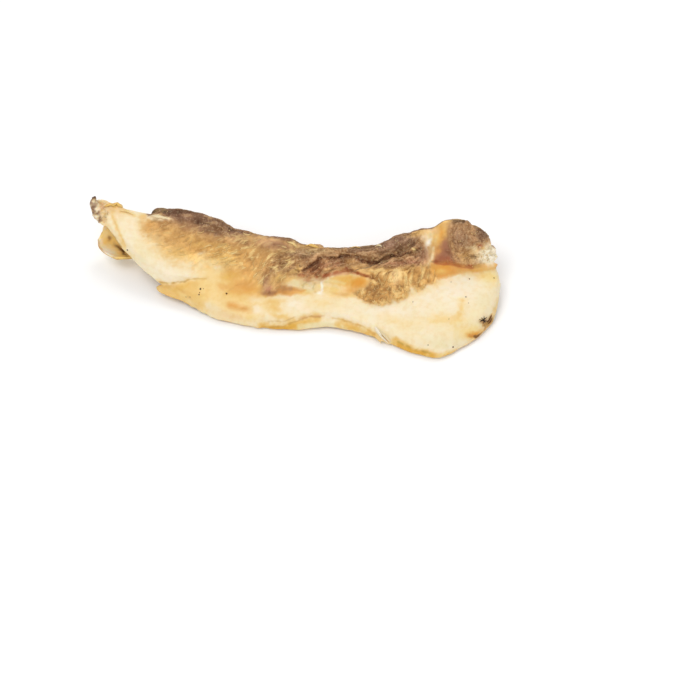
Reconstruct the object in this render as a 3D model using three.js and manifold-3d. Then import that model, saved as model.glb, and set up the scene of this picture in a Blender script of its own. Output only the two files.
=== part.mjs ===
// A dried piece of pork shoulder cartilage, as sold for dogs to chew, in millimetres, +Z up.
// The blade of cartilage lies with its near rim on the ground and rises to a ridge of dried meat behind.
// Places are measured from the left tip along X, from the nearest point of the rim along Y, and from the ground.
import * as THREE from "three";
import { mergeVertices } from "three/addons/utils/BufferGeometryUtils.js";
import Module from "manifold-3d";

// Driving dimensions
const LENGTH = 175.3;
const RIM_HALF = 1.3; // half the thickness of the thin rim
const NEAR_ROUND = 1.8; // how far in from the near rim the edge is rounded
const FAR_ROUND = 2.6;
const END_ROUND = 5; // over which the blade thins out towards its two ends
const SHOULDER = 0.24; // share of the way from the near rim to the meat at which the rim has filled out
const SHOULDER_FILL = 0.6; // share of the height gained by then
const BACK_BULGE = 0.64; // how full the back of the ridge is: 0.5 is a straight slope
const LEAST_THICKNESS = 1.6;
const RELIEF_FADE = 3; // the relief fades out over this distance from either rim
const STATIONS = 96; // cross-sections along the length
const ACROSS_TOP = 30;
const ACROSS_UNDER = 12;
const RIM_CROWDING = 0.56; // how closely the rows of points crowd towards the rims, from 0 to 1
const END_CROWDING = 0.45; // the same for the cross-sections towards the ends

// Lines that run along the piece: [x, y, z]
const NEAR_RIM = [
  [0, 69, 22], [3.4, 62.2, 20], [7.4, 57.3, 17.4], [10.8, 53, 15.8], [14.6, 48.7, 13.4], [21.4, 42.6, 10.4],
  [29.2, 36.9, 7], [39.3, 29.9, 3], [53.7, 21.2, 1.5], [73.8, 16.2, 1.3], [85.5, 15.1, 1.3], [102.4, 16.2, 2.1],
  [119.2, 11.5, 1.9], [133.8, 3.8, 1.3], [146.6, 0, 1.3], [158.6, 6.1, 1.3], [170.4, 18.3, 1.6],
  [173.6, 27, 3.2], [LENGTH, 37.4, 6],
];
const FAR_RIM = [
  [0, 69, 22], [1.2, 70.8, 23.2], [7.2, 70.1, 22], [17.9, 67.6, 19], [24.3, 67.6, 17.2], [31, 69.6, 13],
  [37.5, 70, 9.5], [46.5, 67.5, 5], [55.5, 63, 2.4], [64, 59, 1.4], [89.6, 54.8, 1.3], [106.6, 53.2, 1.3],
  [123.6, 55.5, 1.3], [140.5, 60, 1.3], [152, 63, 1.6], [162, 60, 2.4], [170, 52, 4.5], [173.6, 46, 6],
  [LENGTH, 37.4, 6],
];
const CREST = [
  [0, 69, 22.6], [5, 68.5, 22.8], [17.9, 66, 20], [24.3, 65.6, 19.3], [30.9, 67, 20.6], [37.7, 65.6, 22.4],
  [46.5, 62.3, 23.2], [55.4, 57.1, 23.2], [64, 52.4, 21.6], [81, 50.4, 20], [98, 46.9, 16.3],
  [115, 46.9, 15.7], [132.2, 51, 18.9], [141, 53, 20.2], [147, 54.9, 20.4], [153, 56.4, 23],
  [160, 55, 24.4], [166, 51.4, 20.5], [170, 47.6, 15], [173, 43.6, 9], [LENGTH, 37.4, 6.4],
];
// Where the meat begins on the cartilage
const MEAT_EDGE = [
  [0, 69, 22.3], [3.5, 65, 21.4], [12.5, 58.9, 19.5], [25.5, 52, 17], [40, 43.5, 13.4], [53.5, 36.5, 10.2],
  [64.3, 30.5, 8], [73.6, 28.1, 7.5], [80.4, 29.1, 7.5], [89.6, 35.6, 9], [98.1, 38.1, 10],
  [106.6, 38.4, 10], [111.7, 34.7, 9], [115.6, 28.2, 8], [122.6, 23.1, 7.6], [131.9, 25.9, 8],
  [142.7, 33.5, 9.5], [149, 38.9, 10.3], [168, 41, 11], [173.1, 41.6, 9.2], [LENGTH, 37.4, 6.3],
];
// Heights of the hollow underside, below the meat edge and below the crest: [x, z]
const UNDER_MEAT_EDGE = [
  [0, 21], [12, 16.8], [25, 12.5], [40, 8.2], [53, 5.2], [66, 3.2], [90, 4], [110, 4], [125, 2.6],
  [150, 4.2], [168, 5.4], [LENGTH, 5.6],
];
const UNDER_CREST = [
  [0, 21], [12, 18.4], [24, 15.4], [31, 13], [38, 10.8], [46.5, 8], [55, 5.4], [64, 4], [120, 3.5],
  [150, 4], [168, 5], [LENGTH, 5.6],
];
// The rows between rim, meat edge and crest keep within these shares of the width
const MEAT_EDGE_RANGE = [0.2, 0.7];
const CREST_RANGE = [0.72, 0.92];

// The meat's edge stands proud of the cartilage by this much: [x, height]
const MEAT_STEP = [[22, 0], [40, 0.4], [78, 0.8], [90, 1.3], [108, 1.2], [120, 1.7], [139, 1.8], [152, 2.4], [172, 2.2]];
const MEAT_STEP_WIDTH = 1.6;
const MEAT_START = { x: 21, fade: 7 };

// The long crack in the dried ridge: [x, y]
const FURROW = [[88, 32.8], [96, 37.8], [104.5, 40.9], [115, 40.7], [123.6, 42.1], [132, 45.6], [140, 49]];
const FURROW_DEPTH = 3.2;
const FURROW_WIDTH = 1.7;
const FURROW_FADE = 7;
const LIP_HEIGHT = 0.8; // the crack's upper lip
const LIP_OFFSET = 4;

// The left end of the blade overlaps a lower layer of yellow tissue along this line: [x, y]
const OVERLAP = [[29.9, 37.1], [35.1, 36], [40.7, 36.2], [47.1, 36.6], [58, 36.2]];
const OVERLAP_HEIGHT = 2.2;
const OVERLAP_RISE = 3; // over which the step grows at its left end
// A thin layer ends along this line near the middle of the near rim: [x, y]
const THIN_LAYER = [[84, 16.6], [96, 20.2], [104.5, 19], [112, 16.6], [120, 13.2]];
const THIN_LAYER_HEIGHT = 0.8;
const THIN_LAYER_FADE = 8;
const LAYER_EDGE = 0.9; // how far such an edge is from its foot to its top

// Broad swellings and hollows of the upper face
const SWELLINGS = [
  { x: 150, y: 21, rx: 21, ry: 14, height: 1.6 },
  { x: 97, y: 33.5, rx: 8, ry: 4, height: -0.9 },
  { x: 79, y: 21, rx: 6, ry: 5, height: 0.9 },
  { x: 66, y: 22, rx: 4, ry: 4, height: -0.6 },
  { x: 22, y: 55, rx: 12, ry: 9, height: 0.8 },
  { x: 147, y: 46, rx: 4, ry: 8, height: -1.2 },
];

// Unevenness: how long and wide the bumps are, how high, and a number that sets each apart
const FACE_BUMPS = [{ size: [13, 9], height: 0.45, seed: 0 }, { size: [5, 4], height: 0.2, seed: 3 }];
const MEAT_BUMPS = [{ size: [5, 3.4], height: 0.55, seed: 7 }, { size: [2.6, 2.2], height: 0.35, seed: 11 }];
const NEAR_RIM_BUMPS = [{ size: [4.2, 1], height: 0.45, seed: 21 }, { size: [1.9, 1], height: 0.3, seed: 22 }];
const FAR_RIM_BUMPS = [{ size: [5, 1], height: 0.7, seed: 23 }, { size: [2.3, 1], height: 0.35, seed: 24 }];
const UNDER_BUMPS = [{ size: [11, 8], height: 0.35, seed: 31 }];
// The layers on the back stand in and out
const STRATA = [{ size: [17, 9, 3.4], depth: 0.9 }, { size: [6, 6, 1.9], depth: 0.45 }];

// The lower layer curls out from under the left end as a shallow cup, and joins the blade on its far side
const LOBE = {
  x: 12.2, y: 58.7, rx: 10.8, ry: 8.4,
  turn: -0.25,
  floor: 5.6,
  rim: 3, // height of its free rim over its floor
  joined: 13.4, // height of its far side over its floor
  joinAngle: 1.3, // direction of that side, from the cup's long axis
  joinStart: -0.3, // cosine of the angle from there at which the rim begins to rise
  joinSpread: 1.1,
  curl: 2.2, // how late its floor turns up: 1 is a cone
  wall: 1.6,
  roughness: 0.05,
  spokes: 24,
  rings: 6,
};

// Strands: the points that they follow, their radii from end to end, and thickness as a share of width
const STRANDS = [
  // The twisted dark tip at the left
  { points: [[6, 63.9, 20], [2.8, 65, 22], [0.6, 67.6, 24.2], [1.4, 69.6, 26.4]], radii: [2.4, 2.5, 1.9, 0.5], flat: 0.7 },
  { points: [[6.5, 59.4, 18.4], [2.4, 62.8, 20.8], [0.2, 66, 22.6]], radii: [1.1, 1.5, 0.8], flat: 0.8 },
  // The corner of the lower yellow layer, which shows left of the blade's rim
  {
    points: [[27.8, 37.3, 3.9], [30.6, 36.3, 4.4], [35.5, 34.3, 4.3], [43, 31.2, 3.8]], radii: [0.8, 2.7, 3.3, 3],
    flat: 0.42, sides: 12,
  },
  // Two shreds that hang over the near rim
  { points: [[120, 14.6, 2.9], [123.6, 10.6, 2.6], [127.6, 6.6, 1.6]], radii: [0.5, 1.2, 0.4], flat: 0.6, sides: 8, steps: 6 },
  { points: [[118, 13, 2.6], [121.6, 11, 2.5], [124.2, 7.2, 1.4]], radii: [0.5, 0.9, 0.3], flat: 0.6, sides: 6, steps: 5 },
];
const STRAND_ENDS = 0.12; // share of a strand's length over which each end is rounded
const STRAND_CUT = 0.02; // share left to the single point at each end

// Lumps: ellipsoids pushed in and out
const LUMPS = [
  // The dark lump of dried meat at the right end, and the knobs on it
  { at: [160.8, 50.6, 16.4], radii: [9.2, 7.6, 8.4], rough: 0.14, grain: 2.6, detail: 4 },
  { at: [155.6, 56, 22.4], radii: [3.6, 2.6, 2.6], rough: 0.25, grain: 2, detail: 3, turn: 0.4 },
  { at: [167.4, 49.4, 17.6], radii: [3.2, 3, 3], rough: 0.25, grain: 2, detail: 3 },
  // Flaps and a flake along the upper edge
  { at: [10, 69, 21], radii: [3, 1.5, 1.1], rough: 0.3, grain: 4, detail: 2, turn: -0.2 },
  { at: [28.4, 68.2, 17.8], radii: [3.6, 1.7, 1.9], rough: 0.25, grain: 4, detail: 2, turn: 0.15 },
  { at: [96.4, 48.7, 17], radii: [3.4, 1.3, 1.1], rough: 0.3, grain: 4, detail: 1, turn: -0.1 },
];
// Pale crumbs on the lump's right side: [x, y, z, radius]
const CRUMBS = [
  [170.2, 45.4, 13.2, 2.4], [171.4, 48.6, 14.6, 2.1], [167.6, 44.2, 11.6, 2.2], [172, 44.2, 10.4, 1.8],
  [169.4, 50.4, 16.6, 1.7], [172.2, 47.2, 12.2, 1.9],
];
const CRUMB_SHAPE = [1, 0.85, 0.8];

const MERGE_DISTANCE = 1e-3;
const COLOUR = 0xe3bd7c;

// Monotone cubic interpolation of one column of a list of [x, ...] rows
function curve(rows, column = 1) {
  const n = rows.length;
  const xs = rows.map((r) => r[0]);
  const vs = rows.map((r) => r[column]);
  const slope = (i) => (vs[i + 1] - vs[i]) / (xs[i + 1] - xs[i]);
  const tangents = xs.map((_, i) => {
    if (i === 0 || i === n - 1) return slope(i === 0 ? 0 : n - 2);
    const [a, b] = [slope(i - 1), slope(i)];
    return a * b <= 0 ? 0 : (2 * a * b) / (a + b);
  });
  return (x) => {
    if (x <= xs[0]) return vs[0];
    if (x >= xs[n - 1]) return vs[n - 1];
    let i = 0;
    while (x > xs[i + 1]) i++;
    const h = xs[i + 1] - xs[i];
    const t = (x - xs[i]) / h;
    const [t2, t3] = [t * t, t * t * t];
    return (
      vs[i] * (2 * t3 - 3 * t2 + 1) + h * tangents[i] * (t3 - 2 * t2 + t) +
      vs[i + 1] * (3 * t2 - 2 * t3) + h * tangents[i + 1] * (t3 - t2)
    );
  };
}

const line = (rows) => ({ y: curve(rows, 1), z: curve(rows, 2) });
const near = line(NEAR_RIM);
const far = line(FAR_RIM);
const crest = line(CREST);
const meatEdge = line(MEAT_EDGE);
const underMeatEdge = curve(UNDER_MEAT_EDGE);
const underCrest = curve(UNDER_CREST);
const meatStep = curve(MEAT_STEP);
const furrowY = curve(FURROW);
const overlapY = curve(OVERLAP);
const thinLayerY = curve(THIN_LAYER);

const clamp01 = (t) => Math.min(1, Math.max(0, t));
const smooth = (t) => clamp01(t) ** 2 * (3 - 2 * clamp01(t));
const bell = (t) => Math.exp(-t * t);
const mix = (a, b, t) => a + (b - a) * t;
const rounding = (t) => Math.sqrt(clamp01(t) * (2 - clamp01(t))); // a quarter circle
const within = (x, from, to, fade) => smooth((x - from) / fade) * smooth((to - x) / fade);
const stepUp = (distance, width) => smooth(distance / width + 0.5);

// Repeatable noise from -1 to 1
function lattice(i, j, k) {
  const n = Math.sin(i * 127.1 + j * 311.7 + k * 74.7) * 43758.5453;
  return 2 * (n - Math.floor(n)) - 1;
}

function noise(x, y, z = 0) {
  const [i, j, k] = [x, y, z].map(Math.floor);
  const [u, v, w] = [smooth(x - i), smooth(y - j), smooth(z - k)];
  const row = (b, c) => mix(lattice(i, j + b, k + c), lattice(i + 1, j + b, k + c), u);
  return mix(mix(row(0, 0), row(1, 0), v), mix(row(0, 1), row(1, 1), v), w);
}

function bumps(list, x, y = 0) {
  return list.reduce((sum, b) => sum + b.height * noise(x / b.size[0], y / b.size[1], b.seed), 0);
}

function strata(x, y, z) {
  return STRATA.reduce((sum, s) => sum + s.depth * noise(x / s.size[0], y / s.size[1], z / s.size[2]), 0);
}

// The crack in the ridge and its raised upper lip
function furrow(x, y) {
  const across = y - furrowY(x);
  const crack = within(x, FURROW[0][0], FURROW.at(-1)[0], FURROW_FADE);
  const lip = LIP_HEIGHT * bell((across - LIP_OFFSET) / FURROW_WIDTH);
  return crack * (lip - FURROW_DEPTH * bell(across / FURROW_WIDTH));
}

// The two layers that end before the near rim
function layerEdges(x, y) {
  const [start, end] = [OVERLAP[0][0], OVERLAP.at(-1)[0]];
  const overlap = smooth((end - x) / (end - start)) * smooth((x - start) / OVERLAP_RISE + 0.3);
  const thin = within(x, THIN_LAYER[0][0], THIN_LAYER.at(-1)[0], THIN_LAYER_FADE);
  return (
    -OVERLAP_HEIGHT * overlap * (1 - stepUp(y - overlapY(x), LAYER_EDGE)) -
    THIN_LAYER_HEIGHT * thin * (1 - stepUp(y - thinLayerY(x), LAYER_EDGE))
  );
}

// How far a point on the upper face stands above the smooth section
function relief(x, y) {
  const meat = stepUp(y - meatEdge.y(x), MEAT_STEP_WIDTH) * within(x, MEAT_START.x, LENGTH, MEAT_START.fade);
  const swelling = SWELLINGS.reduce((sum, s) => sum + s.height * bell(Math.hypot((x - s.x) / s.rx, (y - s.y) / s.ry)), 0);
  return (
    meat * (meatStep(x) + bumps(MEAT_BUMPS, x, y)) +
    furrow(x, y) + layerEdges(x, y) + swelling + bumps(FACE_BUMPS, x, y)
  );
}

// One cross-section of the blade: a closed ring of points, upper face from near to far and back underneath
function section(x) {
  const ends = rounding(x / END_ROUND) * rounding((LENGTH - x) / END_ROUND);
  const y0 = near.y(x) + bumps(NEAR_RIM_BUMPS, x) * ends;
  const y1 = far.y(x) + bumps(FAR_RIM_BUMPS, x) * ends;
  const width = y1 - y0;
  const kept = (y, [low, high]) => Math.min(y0 + width * high, Math.max(y0 + width * low, y));
  const yMeat = kept(meatEdge.y(x), MEAT_EDGE_RANGE);
  const yCrest = kept(crest.y(x), CREST_RANGE);
  const yShoulder = mix(y0, yMeat, SHOULDER);
  const [z0, z1] = [near.z(x), far.z(x)];
  const upper = curve([
    [y0, z0 + RIM_HALF], [yShoulder, mix(z0 + RIM_HALF, meatEdge.z(x), SHOULDER_FILL)],
    [yMeat, meatEdge.z(x)], [yCrest, crest.z(x)],
    [mix(yCrest, y1, BACK_BULGE), mix(crest.z(x), z1 + RIM_HALF, 1 - BACK_BULGE)], [y1, z1 + RIM_HALF],
  ]);
  const under = curve([
    [y0, z0 - RIM_HALF], [yMeat, underMeatEdge(x)], [yCrest, underCrest(x)], [y1, z1 - RIM_HALF],
  ]);
  const at = (share, onTop) => {
    const crowded = share - (RIM_CROWDING * Math.sin(2 * Math.PI * share)) / (2 * Math.PI);
    const y = y0 + width * crowded;
    const fill = rounding((y - y0) / NEAR_ROUND) * rounding((y1 - y) / FAR_ROUND);
    const inland = smooth((y - y0) / RELIEF_FADE) * smooth((y1 - y) / RELIEF_FADE);
    const top = upper(y) + relief(x, y) * inland;
    const bottom = under(y) + bumps(UNDER_BUMPS, x, y) * smooth(under(y) / 2);
    const middle = mix(z0, z1, crowded);
    const rim = fill < 1 ? mix(middle, (top + bottom) / 2, fill) : 0;
    const full = onTop ? Math.max(top, bottom + LEAST_THICKNESS) : Math.max(bottom, 0);
    const z = fill < 1 ? mix(rim, full, fill) : full;
    const thinned = mix((top + bottom) / 2, z, ends);
    const onBack = onTop ? smooth((y - yCrest) / (y1 - yCrest)) * fill * ends : 0;
    return new THREE.Vector3(x, y + onBack * strata(x, y, z), Math.max(0, thinned));
  };
  const ring = [];
  for (let j = 0; j <= ACROSS_TOP; j++) ring.push(at(j / ACROSS_TOP, true));
  for (let j = ACROSS_UNDER - 1; j > 0; j--) ring.push(at(j / ACROSS_UNDER, false));
  return ring;
}

// Joins rings of equally many points, with a single point at each end, into a closed geometry
function loft(first, rings, last) {
  const positions = [first, ...rings.flat(), last].flatMap((p) => [p.x, p.y, p.z]);
  const size = rings[0].length;
  const index = [];
  const point = (ring, j) => 1 + ring * size + (j % size);
  for (let j = 0; j < size; j++) {
    index.push(0, point(0, j), point(0, j + 1));
    for (let i = 0; i + 1 < rings.length; i++) {
      index.push(point(i, j), point(i + 1, j), point(i + 1, j + 1));
      index.push(point(i, j), point(i + 1, j + 1), point(i, j + 1));
    }
    index.push(point(rings.length - 1, j), 1 + rings.length * size, point(rings.length - 1, j + 1));
  }
  const geometry = new THREE.BufferGeometry();
  geometry.setAttribute("position", new THREE.Float32BufferAttribute(positions, 3));
  geometry.setIndex(index);
  return geometry;
}

function blade() {
  const rings = [];
  for (let i = 1; i < STATIONS; i++) {
    const t = i / STATIONS;
    rings.push(section(LENGTH * (t - (END_CROWDING * Math.sin(2 * Math.PI * t)) / (2 * Math.PI))));
  }
  const first = new THREE.Vector3(...NEAR_RIM[0]);
  const last = new THREE.Vector3(...NEAR_RIM.at(-1));
  return loft(first, rings, last);
}

// A tapering strand through the given points
function strand({ points, radii, flat, sides = 10, steps = 12 }) {
  const path = new THREE.CatmullRomCurve3(points.map((p) => new THREE.Vector3(...p)));
  const radiusAt = curve(radii.map((r, i) => [i / (radii.length - 1), r]));
  const up = new THREE.Vector3(0, 0, 1);
  const rings = [];
  for (let i = 0; i <= steps; i++) {
    const t = mix(STRAND_CUT, 1 - STRAND_CUT, i / steps);
    const centre = path.getPoint(t);
    const side = path.getTangent(t).cross(up).normalize();
    const over = side.clone().cross(path.getTangent(t)).normalize();
    const r = radiusAt(t) * rounding(t / STRAND_ENDS) * rounding((1 - t) / STRAND_ENDS);
    rings.push(Array.from({ length: sides }, (_, j) => {
      const a = (2 * Math.PI * j) / sides;
      return centre.clone()
        .addScaledVector(side, r * Math.cos(a))
        .addScaledVector(over, r * flat * Math.sin(a));
    }));
  }
  return loft(path.getPoint(0), rings, path.getPoint(1));
}

function lump({ at, radii, rough, grain, detail, turn = 0 }) {
  const geometry = new THREE.IcosahedronGeometry(1, detail);
  const p = geometry.getAttribute("position");
  const v = new THREE.Vector3();
  for (let i = 0; i < p.count; i++) {
    v.fromBufferAttribute(p, i);
    const swell = 1 + rough * noise(v.x * grain + at[0], v.y * grain + at[1], v.z * grain + at[2]);
    p.setXYZ(i, v.x * radii[0] * swell, v.y * radii[1] * swell, v.z * radii[2] * swell);
  }
  return geometry.rotateZ(turn).translate(...at);
}

function crumb([x, y, z, radius]) {
  const radii = CRUMB_SHAPE.map((share) => share * radius);
  return lump({ at: [x, y, z], radii, rough: 0.3, grain: 2, detail: 1, turn: x });
}

function lobe() {
  const surface = (r, a, drop) => {
    const joining = smooth((Math.cos(a - LOBE.joinAngle) - LOBE.joinStart) / LOBE.joinSpread);
    const uneven = 1 + LOBE.roughness * noise(3 * Math.cos(a), 3 * Math.sin(a), 41);
    const z = LOBE.floor + mix(LOBE.rim, LOBE.joined, joining) * r ** LOBE.curl - drop;
    const along = LOBE.rx * r * uneven * Math.cos(a);
    const across = LOBE.ry * r * uneven * Math.sin(a);
    const [c, s] = [Math.cos(LOBE.turn), Math.sin(LOBE.turn)];
    return new THREE.Vector3(LOBE.x + along * c - across * s, LOBE.y + along * s + across * c, z);
  };
  const round = (r, drop) => (
    Array.from({ length: LOBE.spokes }, (_, j) => surface(r, (2 * Math.PI * j) / LOBE.spokes, drop))
  );
  const rings = [];
  for (let i = 1; i <= LOBE.rings; i++) rings.push(round(i / LOBE.rings, 0));
  rings.push(round(1.045, LOBE.wall / 2)); // the rounded rim
  for (let i = LOBE.rings; i >= 1; i--) rings.push(round(i / LOBE.rings, LOBE.wall));
  return loft(surface(0, 0, 0), rings, surface(0, 0, LOBE.wall));
}

const wasm = await Module();
wasm.setup();

function toSolid(geometry) {
  geometry.deleteAttribute("normal");
  geometry.deleteAttribute("uv");
  const merged = mergeVertices(geometry, MERGE_DISTANCE);
  return new wasm.Manifold(new wasm.Mesh({
    numProp: 3,
    vertProperties: new Float32Array(merged.getAttribute("position").array),
    triVerts: new Uint32Array(merged.getIndex().array),
  }));
}

function toGeometry(solid) {
  const { vertProperties, triVerts } = solid.getMesh();
  const geometry = new THREE.BufferGeometry();
  geometry.setAttribute("position", new THREE.BufferAttribute(vertProperties, 3));
  geometry.setIndex(new THREE.BufferAttribute(triVerts, 1));
  geometry.computeVertexNormals();
  return geometry;
}

const outgrowths = [lobe(), ...LUMPS.map(lump), ...CRUMBS.map(crumb), ...STRANDS.map(strand)];
const whole = outgrowths.reduce((solid, part) => solid.add(toSolid(part)), toSolid(blade()));
const geometry = toGeometry(whole);
geometry.computeBoundingBox();

const cartilage = new THREE.Mesh(
  geometry,
  new THREE.MeshStandardMaterial({ color: COLOUR, roughness: 0.62, metalness: 0 }),
);
cartilage.name = "cartilage";
// The origin is on the ground under the middle of the piece
const middle = geometry.boundingBox.getCenter(new THREE.Vector3());
cartilage.position.set(-middle.x, -middle.y, -geometry.boundingBox.min.z);

const piece = new THREE.Group();
piece.add(cartilage);

export default piece;
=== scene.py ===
# The looks of one dried piece of pork shoulder cartilage: a pale blade with a ridge of dried meat.
# Lengths are in millimetres, and marks on the piece are placed by the pixels of the 700-pixel photograph.
import math
import random

import bmesh
import bpy
import numpy as np
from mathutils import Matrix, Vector
from mathutils.bvhtree import BVHTree
from mathutils.kdtree import KDTree


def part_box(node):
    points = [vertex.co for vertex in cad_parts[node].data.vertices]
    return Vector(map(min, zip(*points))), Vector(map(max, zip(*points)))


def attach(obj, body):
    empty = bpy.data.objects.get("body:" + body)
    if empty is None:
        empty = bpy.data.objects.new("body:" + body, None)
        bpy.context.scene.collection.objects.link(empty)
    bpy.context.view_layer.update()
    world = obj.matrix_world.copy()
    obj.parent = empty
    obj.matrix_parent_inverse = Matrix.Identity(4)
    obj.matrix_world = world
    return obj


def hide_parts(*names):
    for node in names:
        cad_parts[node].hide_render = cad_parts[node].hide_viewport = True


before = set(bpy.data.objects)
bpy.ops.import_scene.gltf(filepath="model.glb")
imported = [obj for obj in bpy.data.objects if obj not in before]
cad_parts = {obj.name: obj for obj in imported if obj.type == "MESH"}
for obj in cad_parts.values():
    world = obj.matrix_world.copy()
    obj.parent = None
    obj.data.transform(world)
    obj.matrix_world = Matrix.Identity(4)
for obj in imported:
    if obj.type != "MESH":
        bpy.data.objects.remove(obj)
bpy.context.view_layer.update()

MM = 0.001
NODE = "cartilage"
SEED = 11

# The camera looks down on the piece through a long lens
PICTURE_SIZE = 700
SENSOR = 36.0
LENS = 90.0
ELEVATION = math.radians(50)
AIM = np.array([23.8, -30.3, 0.0])
DISTANCE = 731.0
FOCAL = PICTURE_SIZE * LENS / SENSOR
TO_CAMERA = np.array([0.0, -math.cos(ELEVATION), math.sin(ELEVATION)])
PICTURE_UP = np.array([0.0, math.sin(ELEVATION), math.cos(ELEVATION)])
PICTURE_RIGHT = np.array([1.0, 0.0, 0.0])
EYE = AIM + DISTANCE * TO_CAMERA

# Square soft lights that face the piece: place and side, which are in metres here, and power in watts
LIGHTS = {
    "key": ((-0.4, -0.25, 0.9), 0.6, 3.4),
    "back": ((0.15, 0.6, 0.75), 0.5, 2.6),
    "front": ((0.35, -0.7, 0.5), 0.8, 2.0),
}
SURROUNDING_LIGHT = 0.62
# Half the floor's side, also in metres, and its shade
FLOOR_HALF = 1.5
FLOOR_GREY = 0.93

# How finely the surface is made
WELD_DISTANCE = 0.001
VOXEL = 0.44
SMOOTHING_ROUNDS = 9
SMOOTHING_STEPS = (0.6, -0.62)
CREASE_ROUNDS = 40
# How far around a place its surroundings reach, and how deep below them a full hollow lies; hollows get
# painted shade
HOLLOW_ROUNDS = 4
HOLLOW_DEPTH = 0.22

# The lobe that curls out under the left end: middle and size of the space that it fills
LOBE_MIDDLE = (-75.4, 23.0, 6.0)
LOBE_SIZE = (13.0, 12.0, 8.6)

# Colours as they look under the lights, and how much brighter the lights make a flat place than its paint
PALETTE = {
    "snow": "FFFAEC", "white": "FDF0D8", "ivory": "FBEECE", "cream": "F9E4B8", "butter": "F9D893",
    "straw": "FADA86", "stone": "F0E2B0", "gold": "F0C36D", "honey": "E6B048", "amber": "EAAB5A",
    "orange": "EBA340", "peach": "F3CB9A", "pink": "DDA27A", "tan": "EBBC76", "fawn": "DAA35B",
    "brown": "B8864D", "bark": "8A6038", "grey": "C3966A", "dusk": "83604A", "plum": "A86F52",
    "mauve": "AE7F5F", "umber": "55361F", "olive": "93804A", "rust": "A24C28", "liver": "6A3B1E",
    "soot": "2E2016",
}
LIGHT_LEVEL = 1.19
# The material's fine tints over the paint: clouds in cartilage, and gaps and tips of fibres in meat, which
# are partly painted shade and painted highlight on the bump
CLOUD_TINT = "FCF7EC"
GAP_TONE_AND_SHADE_TINT = "CAB096"
TIP_TONE_AND_HIGHLIGHT_TINT = "FFE9BE"
# Painted light: how much lighter two places that lie in shade, the lobe under the blade and the crumbs at
# the right end, are made than their colours
LOBE_PAINTED_LIGHT = 0.03
CRUMB_PAINTED_LIGHT = 0.08

# The patterns in each tissue's lighter and darker places: those of the left part lie all over the meat,
# and the others take their place where their own tissue is. The same patterns shape the relief, so besides
# the meat's own mottled tone they paint light: raised places paler as painted highlight, sunken ones darker
# as painted shade
TEXTURE_AND_SHADING = {
    "left": {"streaks": 0.3, "wisps": 0.1, "crags": 0.7, "grit": 0.3},
    "rugged": {"streaks": 0.6, "wisps": 0.5, "crags": 0.7, "grit": 0.15},
    "fuzz": {"wool": 1.0, "crags": 0.3},
}
# The same for its height, in millimetres
RELIEF = {
    "left": {"streaks": 0.05, "wisps": 0.04, "crags": 0.13},
    "rugged": {"streaks": 0.14, "wisps": 0.07, "crags": 0.34, "cracks": -0.45},
    "fuzz": {"wool": 0.16, "crags": 0.2},
    "back": {"layers": 0.22, "streaks": 0.1, "cracks": -0.4},
}


# Small helpers for arrays

# Large primes that scramble the numbers of a cell into a repeatable value
CELL_PRIMES = (73856093, 19349663, 83492791)
SEED_PRIME = 2654435761
MIXING_PRIME = 1274126177
WORD = 0xFFFFFFFF
HALF_WORD = 0xFFFF
# Brings a sum of finer and finer noise back to about -1 to 1
FRACTAL_RANGE = 1.6
# How steeply an oval fades away from its middle
OVAL_FALL = 1.1
# Keeps a division by a length from being one by 0
TINY = 1e-9


def smooth(t):
    t = np.clip(t, 0, 1)
    return t * t * (3 - 2 * t)


def ramp(values, low, high):
    """0 below low, 1 above high, and smooth between them"""
    return smooth((values - low) / (high - low))


def lattice(cell, seed):
    """A repeatable value from -1 to 1 for each whole-numbered cell"""
    i, j, k = (column * prime for column, prime in zip(cell.astype(np.int64).T, CELL_PRIMES))
    h = (i ^ j ^ k ^ (seed * SEED_PRIME)) & WORD
    h = (h ^ (h >> 13)) * MIXING_PRIME & WORD
    return ((h ^ (h >> 16)) & HALF_WORD) / (HALF_WORD / 2) - 1


def noise(points, size, seed):
    """Smooth noise from -1 to 1 whose bumps are about `size` across; size may differ along the three axes"""
    p = points / np.asarray(size, float)
    base = np.floor(p)
    f = smooth(p - base)
    total = np.zeros(len(p))
    for corner in np.ndindex(2, 2, 2):
        weight = np.prod(np.where(corner, f, 1 - f), axis=1)
        total += weight * lattice(base + corner, seed)
    return total


def fractal(points, size, seed, octaves=3):
    """Noise with finer noise in it, mostly from -1 to 1"""
    total = np.zeros(len(points))
    for n in range(octaves):
        total += noise(points, np.asarray(size, float) / 2**n, seed + n) / 2**n
    return total / FRACTAL_RANGE


def cloudy(points, size, seed, middle, strength, octaves=3):
    """Soft patches from 0 to 1, which cover more if the middle is high"""
    return smooth(middle + strength * fractal(points, size, seed, octaves))


def evened(values):
    """The same values with a mean of 0 and a spread of 1"""
    return (values - values.mean()) / values.std()


def unit(vectors):
    return vectors / np.maximum(np.linalg.norm(vectors, axis=1), TINY)[:, None]


# The picture

def picture(points):
    """Where points appear in the photograph, in pixels"""
    relative = points - EYE
    depth = -relative @ TO_CAMERA
    return np.stack([
        PICTURE_SIZE / 2 + FOCAL * relative[:, 0] / depth,
        PICTURE_SIZE / 2 - FOCAL * (relative @ PICTURE_UP) / depth,
    ], axis=1)


def ray(x, y):
    """The direction in which a pixel of the photograph is seen"""
    right, up = x - PICTURE_SIZE / 2, PICTURE_SIZE / 2 - y
    return unit((right * PICTURE_RIGHT + up * PICTURE_UP - FOCAL * TO_CAMERA)[None])[0]


def to_segment(spots, a, b):
    """How far spots are from the straight piece of line between two points"""
    a, b = np.array(a, float), np.array(b, float)
    along = np.clip((spots - a) @ (b - a) / ((b - a) @ (b - a)), 0, 1)
    return np.linalg.norm(spots - a - along[:, None] * (b - a), axis=1)


def stroke(spots, points, width, soft):
    """1 on a line drawn on the picture, fading over `soft` pixels beyond its width"""
    nearest = np.min([to_segment(spots, a, b) for a, b in zip(points, points[1:])], axis=0)
    return smooth(1 - (nearest - width / 2) / soft)


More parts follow.
